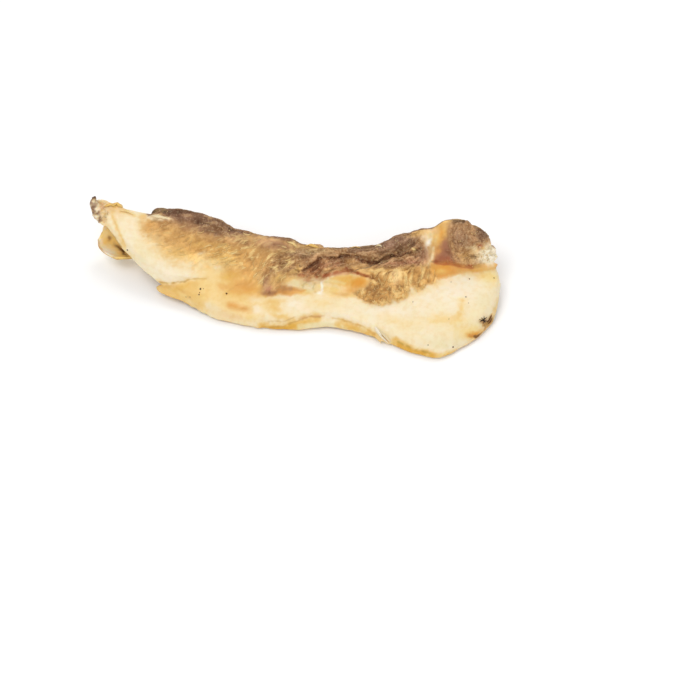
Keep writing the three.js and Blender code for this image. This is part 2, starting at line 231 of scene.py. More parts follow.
def area(spots, points, soft):
    """1 inside an outline drawn on the picture, fading over `soft` pixels at its edge"""
    inside = np.zeros(len(spots), bool)
    nearest = np.full(len(spots), np.inf)
    x, y = spots.T
    for a, b in zip(points, points[1:] + points[:1]):
        nearest = np.minimum(nearest, to_segment(spots, a, b))
        if a[1] != b[1]:
            crossing = (b[0] - a[0]) * (y - a[1]) / (b[1] - a[1]) + a[0]
            inside ^= ((a[1] > y) != (b[1] > y)) & (x < crossing)
    return smooth(0.5 + np.where(inside, nearest, -nearest) / soft)


def oval(spots, x, y, across, down, turn=0.0):
    """1 at the middle of an ellipse on the picture, fading gently to nothing at about twice its radii"""
    a = math.radians(turn)
    dx, dy = spots[:, 0] - x, spots[:, 1] - y
    u = (dx * math.cos(a) - dy * math.sin(a)) / across
    v = (dx * math.sin(a) + dy * math.cos(a)) / down
    return np.exp(-OVAL_FALL * (u * u + v * v))


# Outlines on the picture

MEAT_LEFT = [
    (150, 213), (146, 219), (144, 226), (147, 233), (152, 240), (158, 247), (166, 254), (176, 259),
    (190, 262), (205, 263), (218, 265), (232, 270), (244, 275), (252, 281), (264, 285), (300, 270),
    (300, 225), (215, 204), (180, 195), (150, 205),
]
MEAT_MIDDLE = [
    (252, 230), (248, 262), (256, 276), (262, 284), (266, 293), (272, 293), (279, 286), (286, 280),
    (297, 276), (306, 279), (326, 277), (334, 272), (346, 270), (358, 274), (369, 280), (390, 272),
    (420, 268), (430, 262), (426, 220), (400, 224), (340, 236), (260, 222),
]
MEAT_RIGHT = [
    (424, 222), (427, 240), (431, 262), (445, 263), (457, 265), (470, 267), (480, 264), (488, 262),
    (500, 262), (502, 225), (470, 205), (440, 210),
]
DARK_BAND = [
    (152, 212), (168, 203), (190, 200), (225, 208), (248, 228), (244, 234), (232, 236), (216, 234),
    (200, 228), (184, 221), (168, 217),
]
MID_RIDGE = [
    (284, 255), (300, 249), (318, 244), (360, 240), (385, 236), (412, 226), (424, 238), (427, 252),
    (424, 266), (412, 268), (395, 268), (376, 268), (362, 266), (350, 267), (336, 270), (322, 277),
    (304, 279), (296, 275), (287, 272), (278, 272), (270, 276), (266, 272), (268, 264), (274, 259),
]
LUMP = [
    (447, 226), (456, 212), (482, 216), (492, 232), (487, 243), (477, 244), (471, 250), (478, 256),
    (484, 263), (470, 267), (457, 265), (453, 258), (451, 246), (448, 235),
]
FUZZ = [
    (370, 268), (395, 268), (430, 265), (437, 277), (434, 283), (425, 284), (422, 289), (416, 290),
    (411, 285), (409, 290), (406, 297), (398, 300), (393, 297), (389, 302), (381, 306), (369, 303),
    (361, 298), (354, 294), (362, 290), (370, 284),
]
COMBED = [
    (366, 264), (400, 262), (434, 264), (437, 274), (430, 280), (421, 277), (413, 283), (404, 285),
    (398, 279), (388, 280), (376, 275),
]
SMOOTH_FAT = [(422, 230), (432, 224), (449, 221), (450, 240), (446, 262), (426, 268), (425, 252)]
ORANGE_WEDGE = [
    (430, 262), (445, 262), (457, 264), (470, 267), (482, 264), (498, 262), (498, 268), (480, 271),
    (462, 273), (450, 276), (438, 279), (431, 272),
]
WISPS = [
    (200, 238), (240, 238), (268, 250), (300, 250), (292, 274), (270, 284), (256, 280), (228, 264),
    (204, 258),
]
GOLD_FLAP = [
    (157, 281), (172, 283.5), (186, 281), (205, 279), (211, 292), (206, 310), (185, 307), (166, 300),
    (150, 292),
]
GOLD_MIDDLE = [
    (220, 260), (244, 264), (262, 281), (268, 297), (246, 298), (222, 298), (224, 284), (222, 271),
]
GLASSY = [
    (300, 280), (308, 281), (330, 280), (342, 283), (344, 292), (326, 297), (306, 295), (299, 289),
]
ORANGE_FAT = [
    (331, 279), (339, 275.5), (348, 273), (362, 277), (369, 282), (364, 289), (350, 291), (340, 287),
]
BROWN_BAR = [(266, 286), (282, 285.5), (296, 288), (306, 290.5), (302, 294), (288, 295.5), (268, 296)]
CRUST = [(148, 215.5), (149, 200), (172, 192), (178, 205), (168, 213), (162, 213), (155, 214)]
FOOT_OF_RIDGE = [
    (292, 282), (300, 292), (316, 290), (332, 282), (350, 276), (348, 262), (325, 266), (300, 276),
]
TIP = [(86, 190), (96, 193), (98, 199), (95, 203), (96, 209), (99, 215), (102, 221), (99, 224), (90, 212)]
TIP_INNER = [(97, 200), (106, 202), (108, 214), (106, 223), (102, 222), (98, 212)]
TENDON = [(422, 234), (429, 230), (434, 240), (434, 252), (433, 262), (429, 266), (429, 254), (426, 244)]

# Lines on the picture that are used more than once
LEFT_RIM = [(103, 222), (108, 231), (116, 242), (123, 251), (131, 258)]
FLAP_EDGE = [(160, 282.5), (170, 283.5), (180, 282.5), (188, 280), (196, 279), (206, 279)]
LOW_FOLD = [(262, 328), (284, 326), (300, 320), (311, 316), (320, 317)]
RIM_CREASE = [(332, 318), (346, 321), (360, 325), (374, 334)]

# The crumbly place at the right end, as ovals: its pale colour, which is also lightened as painted light,
# its uneven surface and its loose grains
CRUMBLY_PALE_AND_LIT = (491, 256, 8, 8)
CRUMBLY_ROUGH = (487, 253, 10, 9)
CRUMBLY_GRAINS = (487, 254, 7, 6)

# The way the fibres run: place on the picture, and degrees by which they rise to the right
GRAIN = [
    (160, 240, 26), (190, 245, 24), (215, 250, 20), (240, 255, 24), (250, 270, 36), (258, 275, 44),
    (267, 288, 72), (262, 262, 40), (280, 262, 32), (300, 256, 16), (312, 266, 38), (335, 258, 12),
    (355, 255, 0), (369, 260, -24), (390, 257, 26), (410, 250, 14), (400, 263, 6), (340, 248, 2),
    (385, 243, 14), (190, 214, -8), (225, 226, -22), (280, 243, -12), (380, 285, 70), (400, 280, 88),
    (420, 278, 84), (365, 295, 30), (428, 246, 78), (441, 236, 86), (447, 254, -62), (465, 240, 66),
    (485, 255, 40), (300, 272, 10), (330, 273, 8), (180, 295, -20), (120, 235, -52), (250, 305, -6),
]


# Washes of colour, laid one over another in order: each is a colour and its marks, with their strengths

THIN_LINE = 2
BREAKS_IF_THIN = 0.35
BREAKS_IF_WIDE = 0.12


def field(colour, share, soft, outline):
    """An area with a soft edge"""
    return colour, [(share, lambda skin: area(skin.spots, outline, soft))]


def speckled(colour, share, soft, outline):
    """An area broken up by specks"""
    return colour, [(share, lambda skin: (
        area(skin.spots, outline, soft) * np.clip(0.7 + 0.45 * skin.flecks, 0, 1)
    ))]


def dabs(colour, *marks):
    """Soft ovals, each given by its strength, x, y, radius across, radius down and turn in degrees"""
    return colour, [(share, lambda skin, mark=mark: oval(skin.spots, *mark)) for share, *mark in marks]


def line(colour, share, width, soft, *points):
    """A line that comes and goes, more so if it is thin"""
    breaks = BREAKS_IF_THIN if soft < THIN_LINE else BREAKS_IF_WIDE
    return colour, [(share, lambda skin: (
        stroke(skin.lines, points, width, soft) * (1 - breaks + breaks * skin.flecks)
    ))]


CARTILAGE_WASHES = [
    # The left end
    field("tan", 0.55, 9, [(102, 201), (116, 201), (128, 208), (133, 215), (118, 215), (106, 212)]),
    dabs("fawn", (0.5, 107, 206, 4, 2.5)),
    dabs("honey", (0.55, 117, 206, 5, 3)),
    dabs("fawn", (0.35, 113, 211, 4, 1.6, -20)),
    line("honey", 0.4, 1, 3, (121, 211), (127, 212), (134, 216)),
    dabs("white", (0.6, 113, 219, 6, 6)),
    line("gold", 0.5, 1, 3.5, (112, 214), (117, 228), (124, 246)),
    line("amber", 0.3, 0.4, 1.4, (115, 222), (119, 233), (124, 243)),
    line("butter", 0.6, 2, 5, *LEFT_RIM),
    line("pink", 0.55, 0.6, 1.6, *LEFT_RIM),
    line("bark", 0.45, 0.2, 1.0, (104, 222), (109, 231), (114, 237), (121, 247)),
    dabs("stone", (0.4, 143, 254, 10, 9, 30)),
    dabs("white", (0.5, 131, 226, 7, 12, 20), (0.5, 172, 273, 16, 5, -12)),
    field("butter", 0.6, 30, MEAT_LEFT),
    dabs("cream", (0.5, 190, 270, 18, 5, 8)),
    # The yellow layer below it
    field("gold", 0.85, 8, GOLD_FLAP),
    dabs("butter", (0.7, 157, 287, 4, 4)),
    dabs("fawn", (0.4, 169, 285, 4, 1.6)),
    dabs("honey", (0.35, 180, 288, 10, 3, 12)),
    dabs("butter", (0.7, 184, 295, 12, 3, -25)),
    dabs("cream", (0.6, 190, 302, 9, 3, -24)),
    line("fawn", 0.4, 0.6, 2, (160, 293), (172, 298), (184, 303), (198, 310)),
    line("fawn", 0.35, 0.6, 1.6, (174, 287), (184, 292), (192, 300)),
    line("brown", 0.5, 0.3, 1.2, *FLAP_EDGE),
    dabs("butter", (0.75, 208, 286, 9, 14, -10)),
    # The middle
    field("butter", 0.8, 24, [
        (200, 262), (232, 268), (264, 285), (268, 298), (262, 320), (225, 320), (204, 312),
    ]),
    field("gold", 0.85, 16, GOLD_MIDDLE),
    dabs("amber", (0.75, 247, 286, 16, 9, -14), (0.5, 222, 288, 5, 5), (0.5, 236, 288, 8, 5)),
    dabs("orange", (0.35, 252, 291, 12, 4)),
    dabs("fawn", (0.35, 250, 284, 10, 5)),
    line("brown", 0.12, 0.1, 1.1, (227, 292.5), (236, 286), (245, 283)),
    dabs("honey", (0.4, 232, 274, 12, 5, 20)),
    dabs("gold", (0.5, 262, 290, 6, 6)),
    dabs("cream", (0.8, 218, 267, 6, 3)),
    dabs("white", (0.6, 209, 306, 6, 4)),
    dabs("peach", (0.5, 232, 316, 14, 4, -10)),
    dabs("amber", (0.9, 233, 305, 6, 3, -10), (0.8, 242, 308, 9, 3.4, -16)),
    dabs("brown", (0.25, 244, 308.5, 5, 1, -16)),
    dabs("cream", (0.7, 218, 311, 8, 4, -24)),
    dabs("white", (0.85, 257, 310, 6, 6, -15)),
    dabs("straw", (0.5, 250, 317, 7, 3)),
    dabs("white", (0.5, 256, 300, 7, 3)),
    dabs("gold", (0.6, 272, 306, 8, 6)),
    dabs("honey", (0.4, 275, 302, 5, 4)),
    dabs("gold", (0.8, 281, 316, 10, 3.4, -6), (0.5, 276, 308, 8, 3)),
    dabs("fawn", (0.3, 236, 308, 10, 3, -12)),
    dabs("white", (0.9, 295, 304, 12, 6)),
    dabs("butter", (0.55, 322, 303, 14, 5)),
    line("gold", 0.9, 3, 7, (262, 327), (275, 328), (292, 326), (304, 321), (316, 318)),
    line("honey", 0.9, 2, 5, (264, 330), (276, 330), (292, 328)),
    line("honey", 0.4, 1, 3, (292, 326), (300, 324), (308, 321)),
    dabs("gold", (0.5, 420, 292, 12, 3.4, 20), (0.5, 437, 285, 6, 3, 30)),
    line("brown", 0.4, 0.3, 1.5, *LOW_FOLD),
    line("brown", 0.3, 0.2, 1.2, (268, 322), (285, 321), (297, 316)),
    line("pink", 0.35, 0.5, 2, (300, 319), (311, 316), (324, 316)),
    line("stone", 0.7, 2, 3, (300, 326), (322, 325), (346, 327)),
    # The glassy trough under the ridge
    field("cream", 0.8, 6, [(281, 281), (303, 279), (303, 289), (284, 287)]),
    field("butter", 0.7, 7, GLASSY),
    dabs("stone", (0.9, 309, 288, 8, 6)),
    dabs("straw", (0.5, 333, 287, 8, 4)),
    dabs("white", (0.8, 310, 286, 4, 3)),
    dabs("cream", (0.7, 328, 283, 4, 2.5)),
    line("olive", 0.3, 0.2, 1.4, (304, 290), (303, 285), (307, 281), (314, 280)),
    line("olive", 0.25, 0.2, 1.4, (316, 281), (313, 287), (316, 293)),
    line("olive", 0.2, 0.2, 1.4, (325, 282), (333, 284), (338, 288)),
    # Painted highlight: the glassy trough's bright upright reflection
    line("snow", 1.0, 1.2, 1.6, (322, 280), (322, 291)),
    dabs("snow", (1.0, 320.5, 294, 5, 2)),
    dabs("fawn", (0.7, 278, 282, 7, 5)),
    dabs("stone", (0.6, 295, 283, 7, 2.6)),
    field("amber", 0.95, 4, BROWN_BAR),
    line("mauve", 0.7, 1.5, 3, (270, 289), (280, 287.5), (290, 288.5)),
    line("brown", 0.25, 1.0, 2, (274, 287.5), (288, 287.5), (301, 290)),
    dabs("brown", (0.7, 276, 291, 12, 4, -2)),
    dabs("plum", (0.9, 269, 291, 7, 4, 10)),
    field("gold", 0.9, 14, ORANGE_FAT),
    dabs("gold", (0.5, 342, 278, 13, 3, 4)),
    dabs("honey", (0.5, 349, 280, 11, 4, 4)),
    line("cream", 0.6, 0.8, 2.4, (324, 284), (334, 285.5), (345, 289)),
    line("stone", 0.5, 0.6, 2.0, (327, 280.5), (336, 281), (344, 283.5)),
    dabs("orange", (1.0, 360, 282.5, 10, 7, 8), (0.5, 361, 283, 6, 4)),
    dabs("amber", (0.9, 352, 291, 8, 4)),
    dabs("gold", (0.6, 339, 293, 8, 3), (0.6, 350, 296, 12, 3)),
    dabs("gold", (0.6, 304, 294, 8, 3), (0.4, 279, 301, 9, 3)),
    dabs("fawn", (0.5, 343, 294, 7, 1.8, -10)),
    dabs("honey", (0.6, 292, 278.5, 10, 2.4, 8)),
    # The broad plate at the right
    dabs("white", (0.75, 455, 292, 30, 13, 6), (0.6, 392, 312, 36, 6)),
    dabs("butter", (0.75, 444, 319, 20, 6), (0.45, 400, 322, 22, 5, -12)),
    line("butter", 0.6, 3, 6, (455, 325), (461, 314), (462, 302)),
    line("gold", 0.35, 0.6, 3, (458, 318), (461, 310), (462, 302)),
    dabs("straw", (0.7, 490, 276, 11, 9)),
    dabs("gold", (0.5, 472, 274, 20, 3, -2)),
    dabs("straw", (0.6, 472, 333, 16, 8)),
    dabs("stone", (0.5, 438, 342, 16, 6), (0.35, 482, 300, 8, 10)),
    line("gold", 1.0, 4, 6, (394, 342), (410, 351), (437, 357)),
    line("honey", 0.9, 2.4, 3.5, (398, 345), (413, 352), (432, 356)),
    line("olive", 0.35, 0.3, 1.5, (398, 342), (413, 349), (430, 353)),
    line("gold", 0.8, 3, 6, (340, 323), (356, 327), (372, 335), (384, 342)),
    line("honey", 0.4, 1, 4, (350, 327), (362, 331), (376, 339)),
    line("fawn", 0.5, 0.4, 1.6, *RIM_CREASE),
    line("cream", 0.7, 5, 4, (378, 328), (388, 340)),
    line("fawn", 0.6, 0.3, 1.4, (380, 333), (386, 339), (389, 342)),
    line("butter", 0.8, 2, 4, (440, 356), (460, 350), (478, 341), (490, 330), (497, 318), (499, 300)),
    line("honey", 0.5, 0.6, 2.4, (445, 356), (462, 350), (476, 342)),
    # Burnt places on its rim
    dabs("orange", (0.9, 475, 334, 9, 3, 20), (0.7, 487, 328, 4, 5)),
    line("rust", 0.2, 0.6, 2.4, (470, 336), (477, 337), (486, 332)),
    line("umber", 0.7, 0.8, 1.8, (475, 337), (480, 336), (483, 334)),
    line("bark", 0.45, 1.0, 2.4, (486, 325), (490, 322), (493, 317)),
    line("liver", 0.7, 0.4, 1.4, (484, 323), (485.5, 327), (485, 331)),
    dabs("gold", (0.5, 488, 322, 6, 6)),
    line("gold", 0.5, 0.8, 3, (489, 324), (494, 316), (496, 306)),
    dabs("brown", (0.7, 482, 322, 4, 2.6), (0.6, 488, 324, 3, 4)),
    dabs("bark", (0.5, 490, 319, 2.6, 4, -30), (0.5, 484, 320, 3, 2.4)),
]

MEAT_WASHES = [
    ("tan", [(1.0, lambda skin: skin.meat)]),
    # The left part
    dabs("amber", (0.6, 150, 226, 8, 6, 30)),
    field("fawn", 0.6, 26, [
        (165, 228), (200, 232), (250, 246), (262, 262), (236, 256), (190, 248), (168, 242),
    ]),
    dabs("bark", (0.3, 170, 220, 13, 3, -8)),
    dabs("fawn", (0.4, 254, 278, 10, 6)),
    dabs("brown", (0.55, 162, 228, 11, 5, -6), (0.4, 178, 227, 14, 5, -12), (0.4, 206, 237, 16, 5, -14)),
    dabs("brown", (0.5, 197, 228, 10, 4, -10), (0.55, 234, 246, 14, 5, -14), (0.8, 263, 260, 12, 6, -4)),
    dabs("brown", (0.4, 256, 246, 9, 4, -10), (0.4, 244, 261, 8, 4, -10)),
    dabs("gold", (0.8, 226, 258, 18, 6, -8)),
    dabs("butter", (0.5, 212, 262, 16, 4, -4)),
    dabs("gold", (0.6, 180, 254, 18, 6, -8)),
    dabs("amber", (0.5, 205, 250, 20, 5, -10)),
    dabs("gold", (0.4, 222, 246, 12, 3, -10), (0.5, 200, 244, 10, 4, -10)),
    dabs("fawn", (0.6, 238, 254, 11, 5, -14), (0.8, 252, 261, 10, 8, -8)),
    dabs("amber", (0.6, 246, 272, 12, 7, -20)),
    field("mauve", 0.6, 14, [
        (168, 214), (200, 224), (244, 236), (250, 244), (215, 238), (180, 228), (158, 221),
    ]),
    field("dusk", 0.95, 10, DARK_BAND),
    dabs("umber", (0.45, 196, 210, 12, 4, -4), (0.4, 178, 206, 9, 3, -4)),
    dabs("umber", (0.4, 214, 220, 7, 3, -18), (0.35, 234, 229, 9, 3, -24)),
    dabs("plum", (0.4, 186, 217, 12, 3, -10)),
    dabs("dusk", (0.75, 184, 219, 14, 5, -10)),
    dabs("grey", (0.3, 192, 225, 12, 3, -14), (0.6, 222, 228, 9, 3, -20)),
    dabs("umber", (0.6, 172, 207, 8, 2), (0.35, 181, 212, 7, 4)),
    dabs("bark", (0.35, 192, 224, 11, 4, -12)),
    dabs("brown", (0.45, 217, 229, 9, 3, -20), (0.35, 254, 244, 16, 4, -12)),
    field("cream", 1.0, 2, [
        (147, 214.5), (156, 214.5), (166, 216.5), (172, 220.5), (160, 220.5), (147, 219),
    ]),
    dabs("peach", (0.4, 163, 218, 7, 2, -10)),
    line("fawn", 0.5, 0.4, 1.2, (152, 221.5), (160, 222), (170, 223)),
    line("dusk", 0.85, 1.6, 3.5, (240, 231), (262, 234.5), (285, 238.5), (300, 243)),
    dabs("bark", (0.55, 243, 242, 7, 4, -20)),
    line("peach", 0.5, 0.5, 1.5, (245, 232), (249, 237), (255, 241)),
    dabs("mauve", (0.9, 274, 244, 20, 6, -10)),
    dabs("butter", (0.8, 292, 243, 3.4, 2, 35)),
    line("gold", 0.6, 1.0, 2, (302, 247), (322, 249.5)),
    dabs("cream", (0.9, 201, 253, 4.5, 2.0, 20)),
    # The foot of the ridge
    field("grey", 0.9, 12, MID_RIDGE),
    dabs("mauve", (0.8, 266, 281, 4, 11, 8)),
    dabs("plum", (0.8, 268, 289, 5, 5)),
    dabs("liver", (0.35, 270, 292, 5, 2)),
    dabs("brown", (0.8, 268, 268, 6, 9, -24)),
    dabs("bark", (0.2, 280, 258, 12, 3, 22), (0.25, 293, 259, 5, 4), (0.3, 271, 293, 8, 2)),
    dabs("gold", (0.2, 262, 262, 4, 7, -40)),
    dabs("brown", (0.35, 259, 260, 14, 9)),
    dabs("tan", (0.6, 285, 262, 9, 6, 20), (0.6, 299, 268, 4, 6)),
    dabs("brown", (0.6, 277, 284, 6, 4)),
    dabs("bark", (0.4, 291, 251, 7, 3)),
    dabs("gold", (0.5, 278, 277, 5, 4, 40), (0.6, 296, 271, 7, 2.6, 10)),
    # The ridge
    dabs("dusk", (0.6, 300, 253, 18, 5, -4)),
    dabs("olive", (0.35, 312, 251, 16, 4)),
    line("bark", 0.5, 0.8, 2.4, (280, 262), (294, 257), (312, 256)),
    line("bark", 0.5, 0.8, 2.4, (272, 272), (282, 264), (298, 262)),
    line("dusk", 0.7, 3, 6, (352, 248), (366, 249), (385, 243), (408, 236)),
    field("dusk", 0.6, 9, [(374, 250), (396, 237), (414, 238), (421, 247), (404, 249), (384, 255)]),
    dabs("rust", (0.45, 314, 269, 11, 5, 30)),
    dabs("liver", (0.9, 316, 267, 8, 5, 30)),
    dabs("umber", (0.5, 316, 266, 6, 2.4, 36)),
    dabs("plum", (0.6, 334, 264, 16, 4, 14)),
    dabs("tan", (0.7, 326, 269, 4, 2, 20), (0.6, 350, 262, 7, 2.4)),
    dabs("brown", (0.4, 340, 268, 6, 2.4), (0.6, 382, 268, 10, 3)),
    dabs("plum", (0.8, 400, 262, 18, 4, 8)),
    dabs("mauve", (0.8, 421, 255, 6, 8)),
    dabs("bark", (0.55, 402, 260, 14, 4, 8), (0.5, 414, 252, 7, 4, 8), (0.4, 421, 244, 4, 6)),
    # Dark lines along the grooves: partly the furrows' own dark colour and partly painted shade in them
    line("liver", 0.8, 0.8, 2.2, (303, 271), (310, 266), (316, 261), (321, 257)),
    line("liver", 0.75, 1.0, 2.2, (318, 258.5), (326, 257.5), (334, 259), (341, 257.5)),
    line("liver", 0.6, 1.2, 2.4, (341, 257.5), (348, 255.5), (360, 256.5)),
    dabs("dusk", (0.5, 392, 242, 10, 4, 20)),
    line("liver", 1.0, 1.4, 2.2, (357, 258.5), (363, 261.5), (368, 262)),
    line("liver", 0.7, 1.0, 2.0, (368, 262), (378, 262.5)),
    line("liver", 0.9, 1.2, 2.2, (378, 263), (388, 257.5), (400, 253.5), (410, 251), (419, 249.5)),
    line("umber", 0.7, 0.8, 1.8, (382, 261), (392, 256), (402, 252.5), (414, 250.5)),
    dabs("bark", (0.45, 379, 267.5, 8, 2.4), (0.3, 330, 266, 6, 3)),
    dabs("bark", (0.35, 396, 260, 7, 2), (0.4, 412, 252.5, 5, 2)),
    line("plum", 0.5, 0.6, 1.5, (386, 266), (404, 263), (420, 262)),
    line("peach", 0.35, 0.4, 1.3, (378, 265), (388, 262), (398, 258), (412, 257)),
    line("rust", 0.5, 0.6, 1.8, (299, 275), (306, 276.5), (314, 277.5), (326, 276)),
    line("liver", 0.35, 0.4, 1.6, (303, 274), (312, 275.5), (322, 274.5)),
    line("rust", 0.7, 1.4, 2.4, (324, 276), (335, 273.5), (340, 271.5), (346, 269.5), (357, 273)),
    line("rust", 0.7, 0.8, 2.0, (357, 273), (366, 276), (374, 277.5)),
    line("pink", 0.6, 0.6, 1.8, (304, 280), (318, 279.5), (328, 278), (340, 274), (352, 273)),
    # Pale crumbs along it
    dabs("cream", (0.8, 379, 246, 2.4, 1.3)),
    dabs("butter", (0.8, 415, 249.5, 2.6, 2.0)),
    # The fibrous patch
    field("fawn", 0.85, 8, FUZZ),
    dabs("brown", (0.15, 376, 292, 10, 5, -20), (0.3, 386, 300, 12, 3, 10)),
    dabs("tan", (0.8, 363, 290, 6, 4), (0.5, 415, 281, 6, 4)),
    dabs("brown", (0.7, 396, 291, 6, 5)),
    dabs("peach", (0.8, 395, 275, 5, 8)),
    dabs("tan", (0.5, 383, 274, 6, 3)),
    dabs("cream", (0.7, 412, 290, 4, 3)),
    dabs("butter", (0.4, 406, 287, 3, 4)),
    dabs("tan", (0.6, 426, 275, 7, 6)),
    dabs("amber", (0.5, 430, 281, 7, 3)),
    dabs("brown", (0.4, 401, 269, 7, 2)),
    # Tendon and fat beside the lump
    dabs("gold", (1.0, 440, 236, 9, 13)),
    dabs("amber", (0.5, 441, 238, 6, 12)),
    dabs("gold", (0.6, 416, 234, 8, 2.6, 12)),
    dabs("peach", (0.9, 433, 230, 6, 4)),
    dabs("orange", (0.5, 442.5, 234, 2, 8)),
    dabs("butter", (0.7, 437, 240, 2, 7, -14)),
    dabs("brown", (0.4, 448, 228, 2, 8)),
    dabs("peach", (0.6, 430, 259, 4, 6)),
    dabs("mauve", (0.8, 427, 253, 5, 7)),
    dabs("pink", (0.4, 424, 259, 3, 5)),
    field("plum", 0.95, 7, [
        (434, 264), (436, 254), (441, 246), (448, 239), (451, 248), (455, 257), (463, 266),
    ]),
    dabs("rust", (0.4, 446, 259, 11, 3.4, -4)),
    dabs("amber", (0.7, 440, 251, 3, 5, -20)),
    dabs("plum", (0.6, 447, 245, 3, 8, 14)),
    dabs("bark", (0.4, 449, 238, 2, 9)),
    line("liver", 0.3, 0.6, 2, (446, 250), (452, 258), (462, 264)),
    field("cream", 0.35, 7, TENDON),
    # Painted highlight on the tendon: a snow-white dab over its pale colour
    dabs("snow", (0.95, 429.5, 242, 3, 5.5, -20)),
    dabs("white", (0.5, 425, 238, 3.4, 2.4)),
    dabs("stone", (0.6, 431, 234, 3, 2)),
    line("cream", 0.7, 0.6, 2.0, (433, 247), (433, 256), (429, 264)),
    line("brown", 0.5, 0.4, 1.6, (428, 248), (430, 254), (429, 262)),
    # The lump
    field("grey", 0.95, 9, LUMP),
    dabs("dusk", (0.45, 460, 239, 9, 9)),
    dabs("tan", (0.15, 472, 231, 5, 5), (0.7, 466, 257, 8, 6), (0.4, 473, 256, 6, 4, 40)),
    dabs("soot", (0.8, 458, 219, 7, 3.4)),
    dabs("dusk", (0.95, 482, 231, 6, 8)),
    dabs("bark", (0.7, 482, 233, 5, 7)),
    dabs("cream", (1.0, 488, 255, 12, 9)),
    dabs("snow", (1.0, 491, 255, 10, 9)),
    dabs("straw", (0.2, 488, 256, 6, 6)),
    dabs("cream", (0.7, 473, 248.5, 5, 2)),
    dabs("rust", (0.7, 480, 246.5, 3, 2.6)),
    dabs("honey", (0.6, 483, 248.5, 2, 1.6)),
    # The orange wedge under it
    field("amber", 0.95, 5, ORANGE_WEDGE),
    speckled("fawn", 0.4, 6, ORANGE_WEDGE),
    dabs("orange", (0.9, 443, 269, 10, 5)),
    dabs("straw", (0.7, 441, 271, 6, 2.6)),
    dabs("gold", (0.7, 482, 268, 15, 3)),
    dabs("brown", (0.5, 470, 266, 12, 1.8, -2)),
    line("rust", 0.6, 1.2, 2.4, (434, 262.5), (446, 263), (458, 265.5), (472, 267)),
    # The dark tip with its pale crumbs
    field("cream", 0.8, 4, TIP_INNER),
    speckled("brown", 0.35, 4, TIP_INNER),
    speckled("dusk", 1.05, 4, TIP),
    dabs("umber", (0.7, 94, 196, 2.5, 4, -10)),
    dabs("pink", (0.5, 101, 208, 2.6, 4, -20)),
]

# Over every tissue that the camera sees, where the surface turns away at the top and the right
RIM_WASHES = [
    field("dusk", 0.9, 2.5, CRUST),
    ("olive", [(0.6, lambda skin: area(skin.still, CRUST, 2.5) * smooth(0.4 + 0.6 * skin.crags))]),
    ("soot", [(0.6, lambda skin: area(skin.still, CRUST, 2.5) * smooth(0.3 - 0.8 * skin.streaks))]),
    dabs("dusk", (0.8, 484, 234, 5, 7)),
    dabs("umber", (0.25, 484, 235, 5, 6)),
    # The crumbs' cream and snow: partly their own pale colour, partly painted light where they lie in shade
    dabs("cream", (0.95, *CRUMBLY_PALE_AND_LIT)),
    dabs("snow", (0.8, *CRUMBLY_PALE_AND_LIT)),
]

LOBE_WASHES = [
    # The lobe lies in the shade of the blade: its pale lower part in snow is partly its own colour and
    # partly painted light
    dabs("snow", (1.0, 107, 252, 10, 6, -28), (0.8, 101, 243, 4, 6, 10)),
    dabs("cream", (0.5, 107, 233, 5, 5)),
    dabs("honey", (0.3, 108, 241, 4, 4, -30)),
    dabs("bark", (0.7, 109.5, 238.5, 1.4, 2.6)),
    # The brown dab at 121, 250 and the umber under it are a painted shadow: the dark wedge in the gap along
    # the blade's edge
    dabs("brown", (0.8, 101, 231, 2, 5, -40), (0.55, 121, 250, 9, 3, -41)),
    dabs("umber", (0.95, 122, 251.5, 8, 1.6, -41)),
    line(
        "brown", 0.7, 0.2, 2.2,
        (104, 226), (98.5, 233), (97, 240), (99, 247), (104, 254), (111, 258), (120, 260), (130, 260),
    ),
]


# Relief

GROOVES = [
    # depth in millimetres, width in pixels, line on the picture
    (0.9, 2.4, [(305, 270), (312, 265), (320, 260)]),
    (0.6, 1.6, [(318, 258), (326, 257), (334, 258)]),
    (0.8, 2.0, [(324, 263), (335, 260), (347, 257), (359, 256)]),
    (0.5, 2.0, [(358, 259), (371, 262.5), (378, 262.5)]),
    (1.1, 2.4, [(379, 262.5), (388, 257.5), (400, 253), (416, 250)]),
    (0.8, 2.6, [(398, 257), (410, 253)]),
    (0.6, 1.4, [(326, 274), (334, 269), (344, 270), (352, 270), (362, 276), (372, 277)]),
    (0.5, 1.6, [(385, 268), (400, 266), (416, 266)]),
    (0.3, 1.8, [(266, 296), (270, 291), (280, 287)]),
    (0.25, 1.2, FLAP_EDGE),
    (0.25, 1.2, LOW_FOLD),
    (0.2, 1.2, RIM_CREASE),
    (0.2, 1.2, [(112, 216), (117, 228), (125, 246)]),
    (0.3, 1.2, [(108, 229), (115, 240), (121, 247)]),
    (0.15, 1.2, [(302, 285), (308, 284), (313, 288)]),
    (0.3, 1.6, [(152, 221), (160, 222), (170, 223.5)]),
    (0.5, 1.6, [(484, 326), (490, 321), (492, 314)]),
    (0.4, 1.4, [(470, 337), (478, 336), (484, 333)]),
    (0.4, 1.6, [(432, 262), (446, 262), (458, 265), (472, 267), (484, 264)]),
]
RISES = [
    # height in millimetres, then x, y, radius across, radius down and turn in degrees
    (0.5, 160, 218, 9, 2.4, -10), (0.4, 201, 253, 5, 2.4, 20), (0.5, 429, 245, 4, 9, 10),
    (-0.5, 322, 288, 20, 5), (0.3, 357, 283, 10, 5), (0.4, 292, 304, 12, 6),
    (0.3, 256, 311, 6, 9, -15), (0.4, 480, 268, 16, 2.4, 2), (-0.5, 480, 247, 3, 3),
    (0.4, 440, 236, 4, 10), (0.5, 350, 262, 8, 3), (0.5, 327, 269, 5, 2.4, 20),
    (0.3, 218, 267, 6, 3), (0.5, 382, 296, 14, 6), (0.4, 426, 280, 6, 4),
]


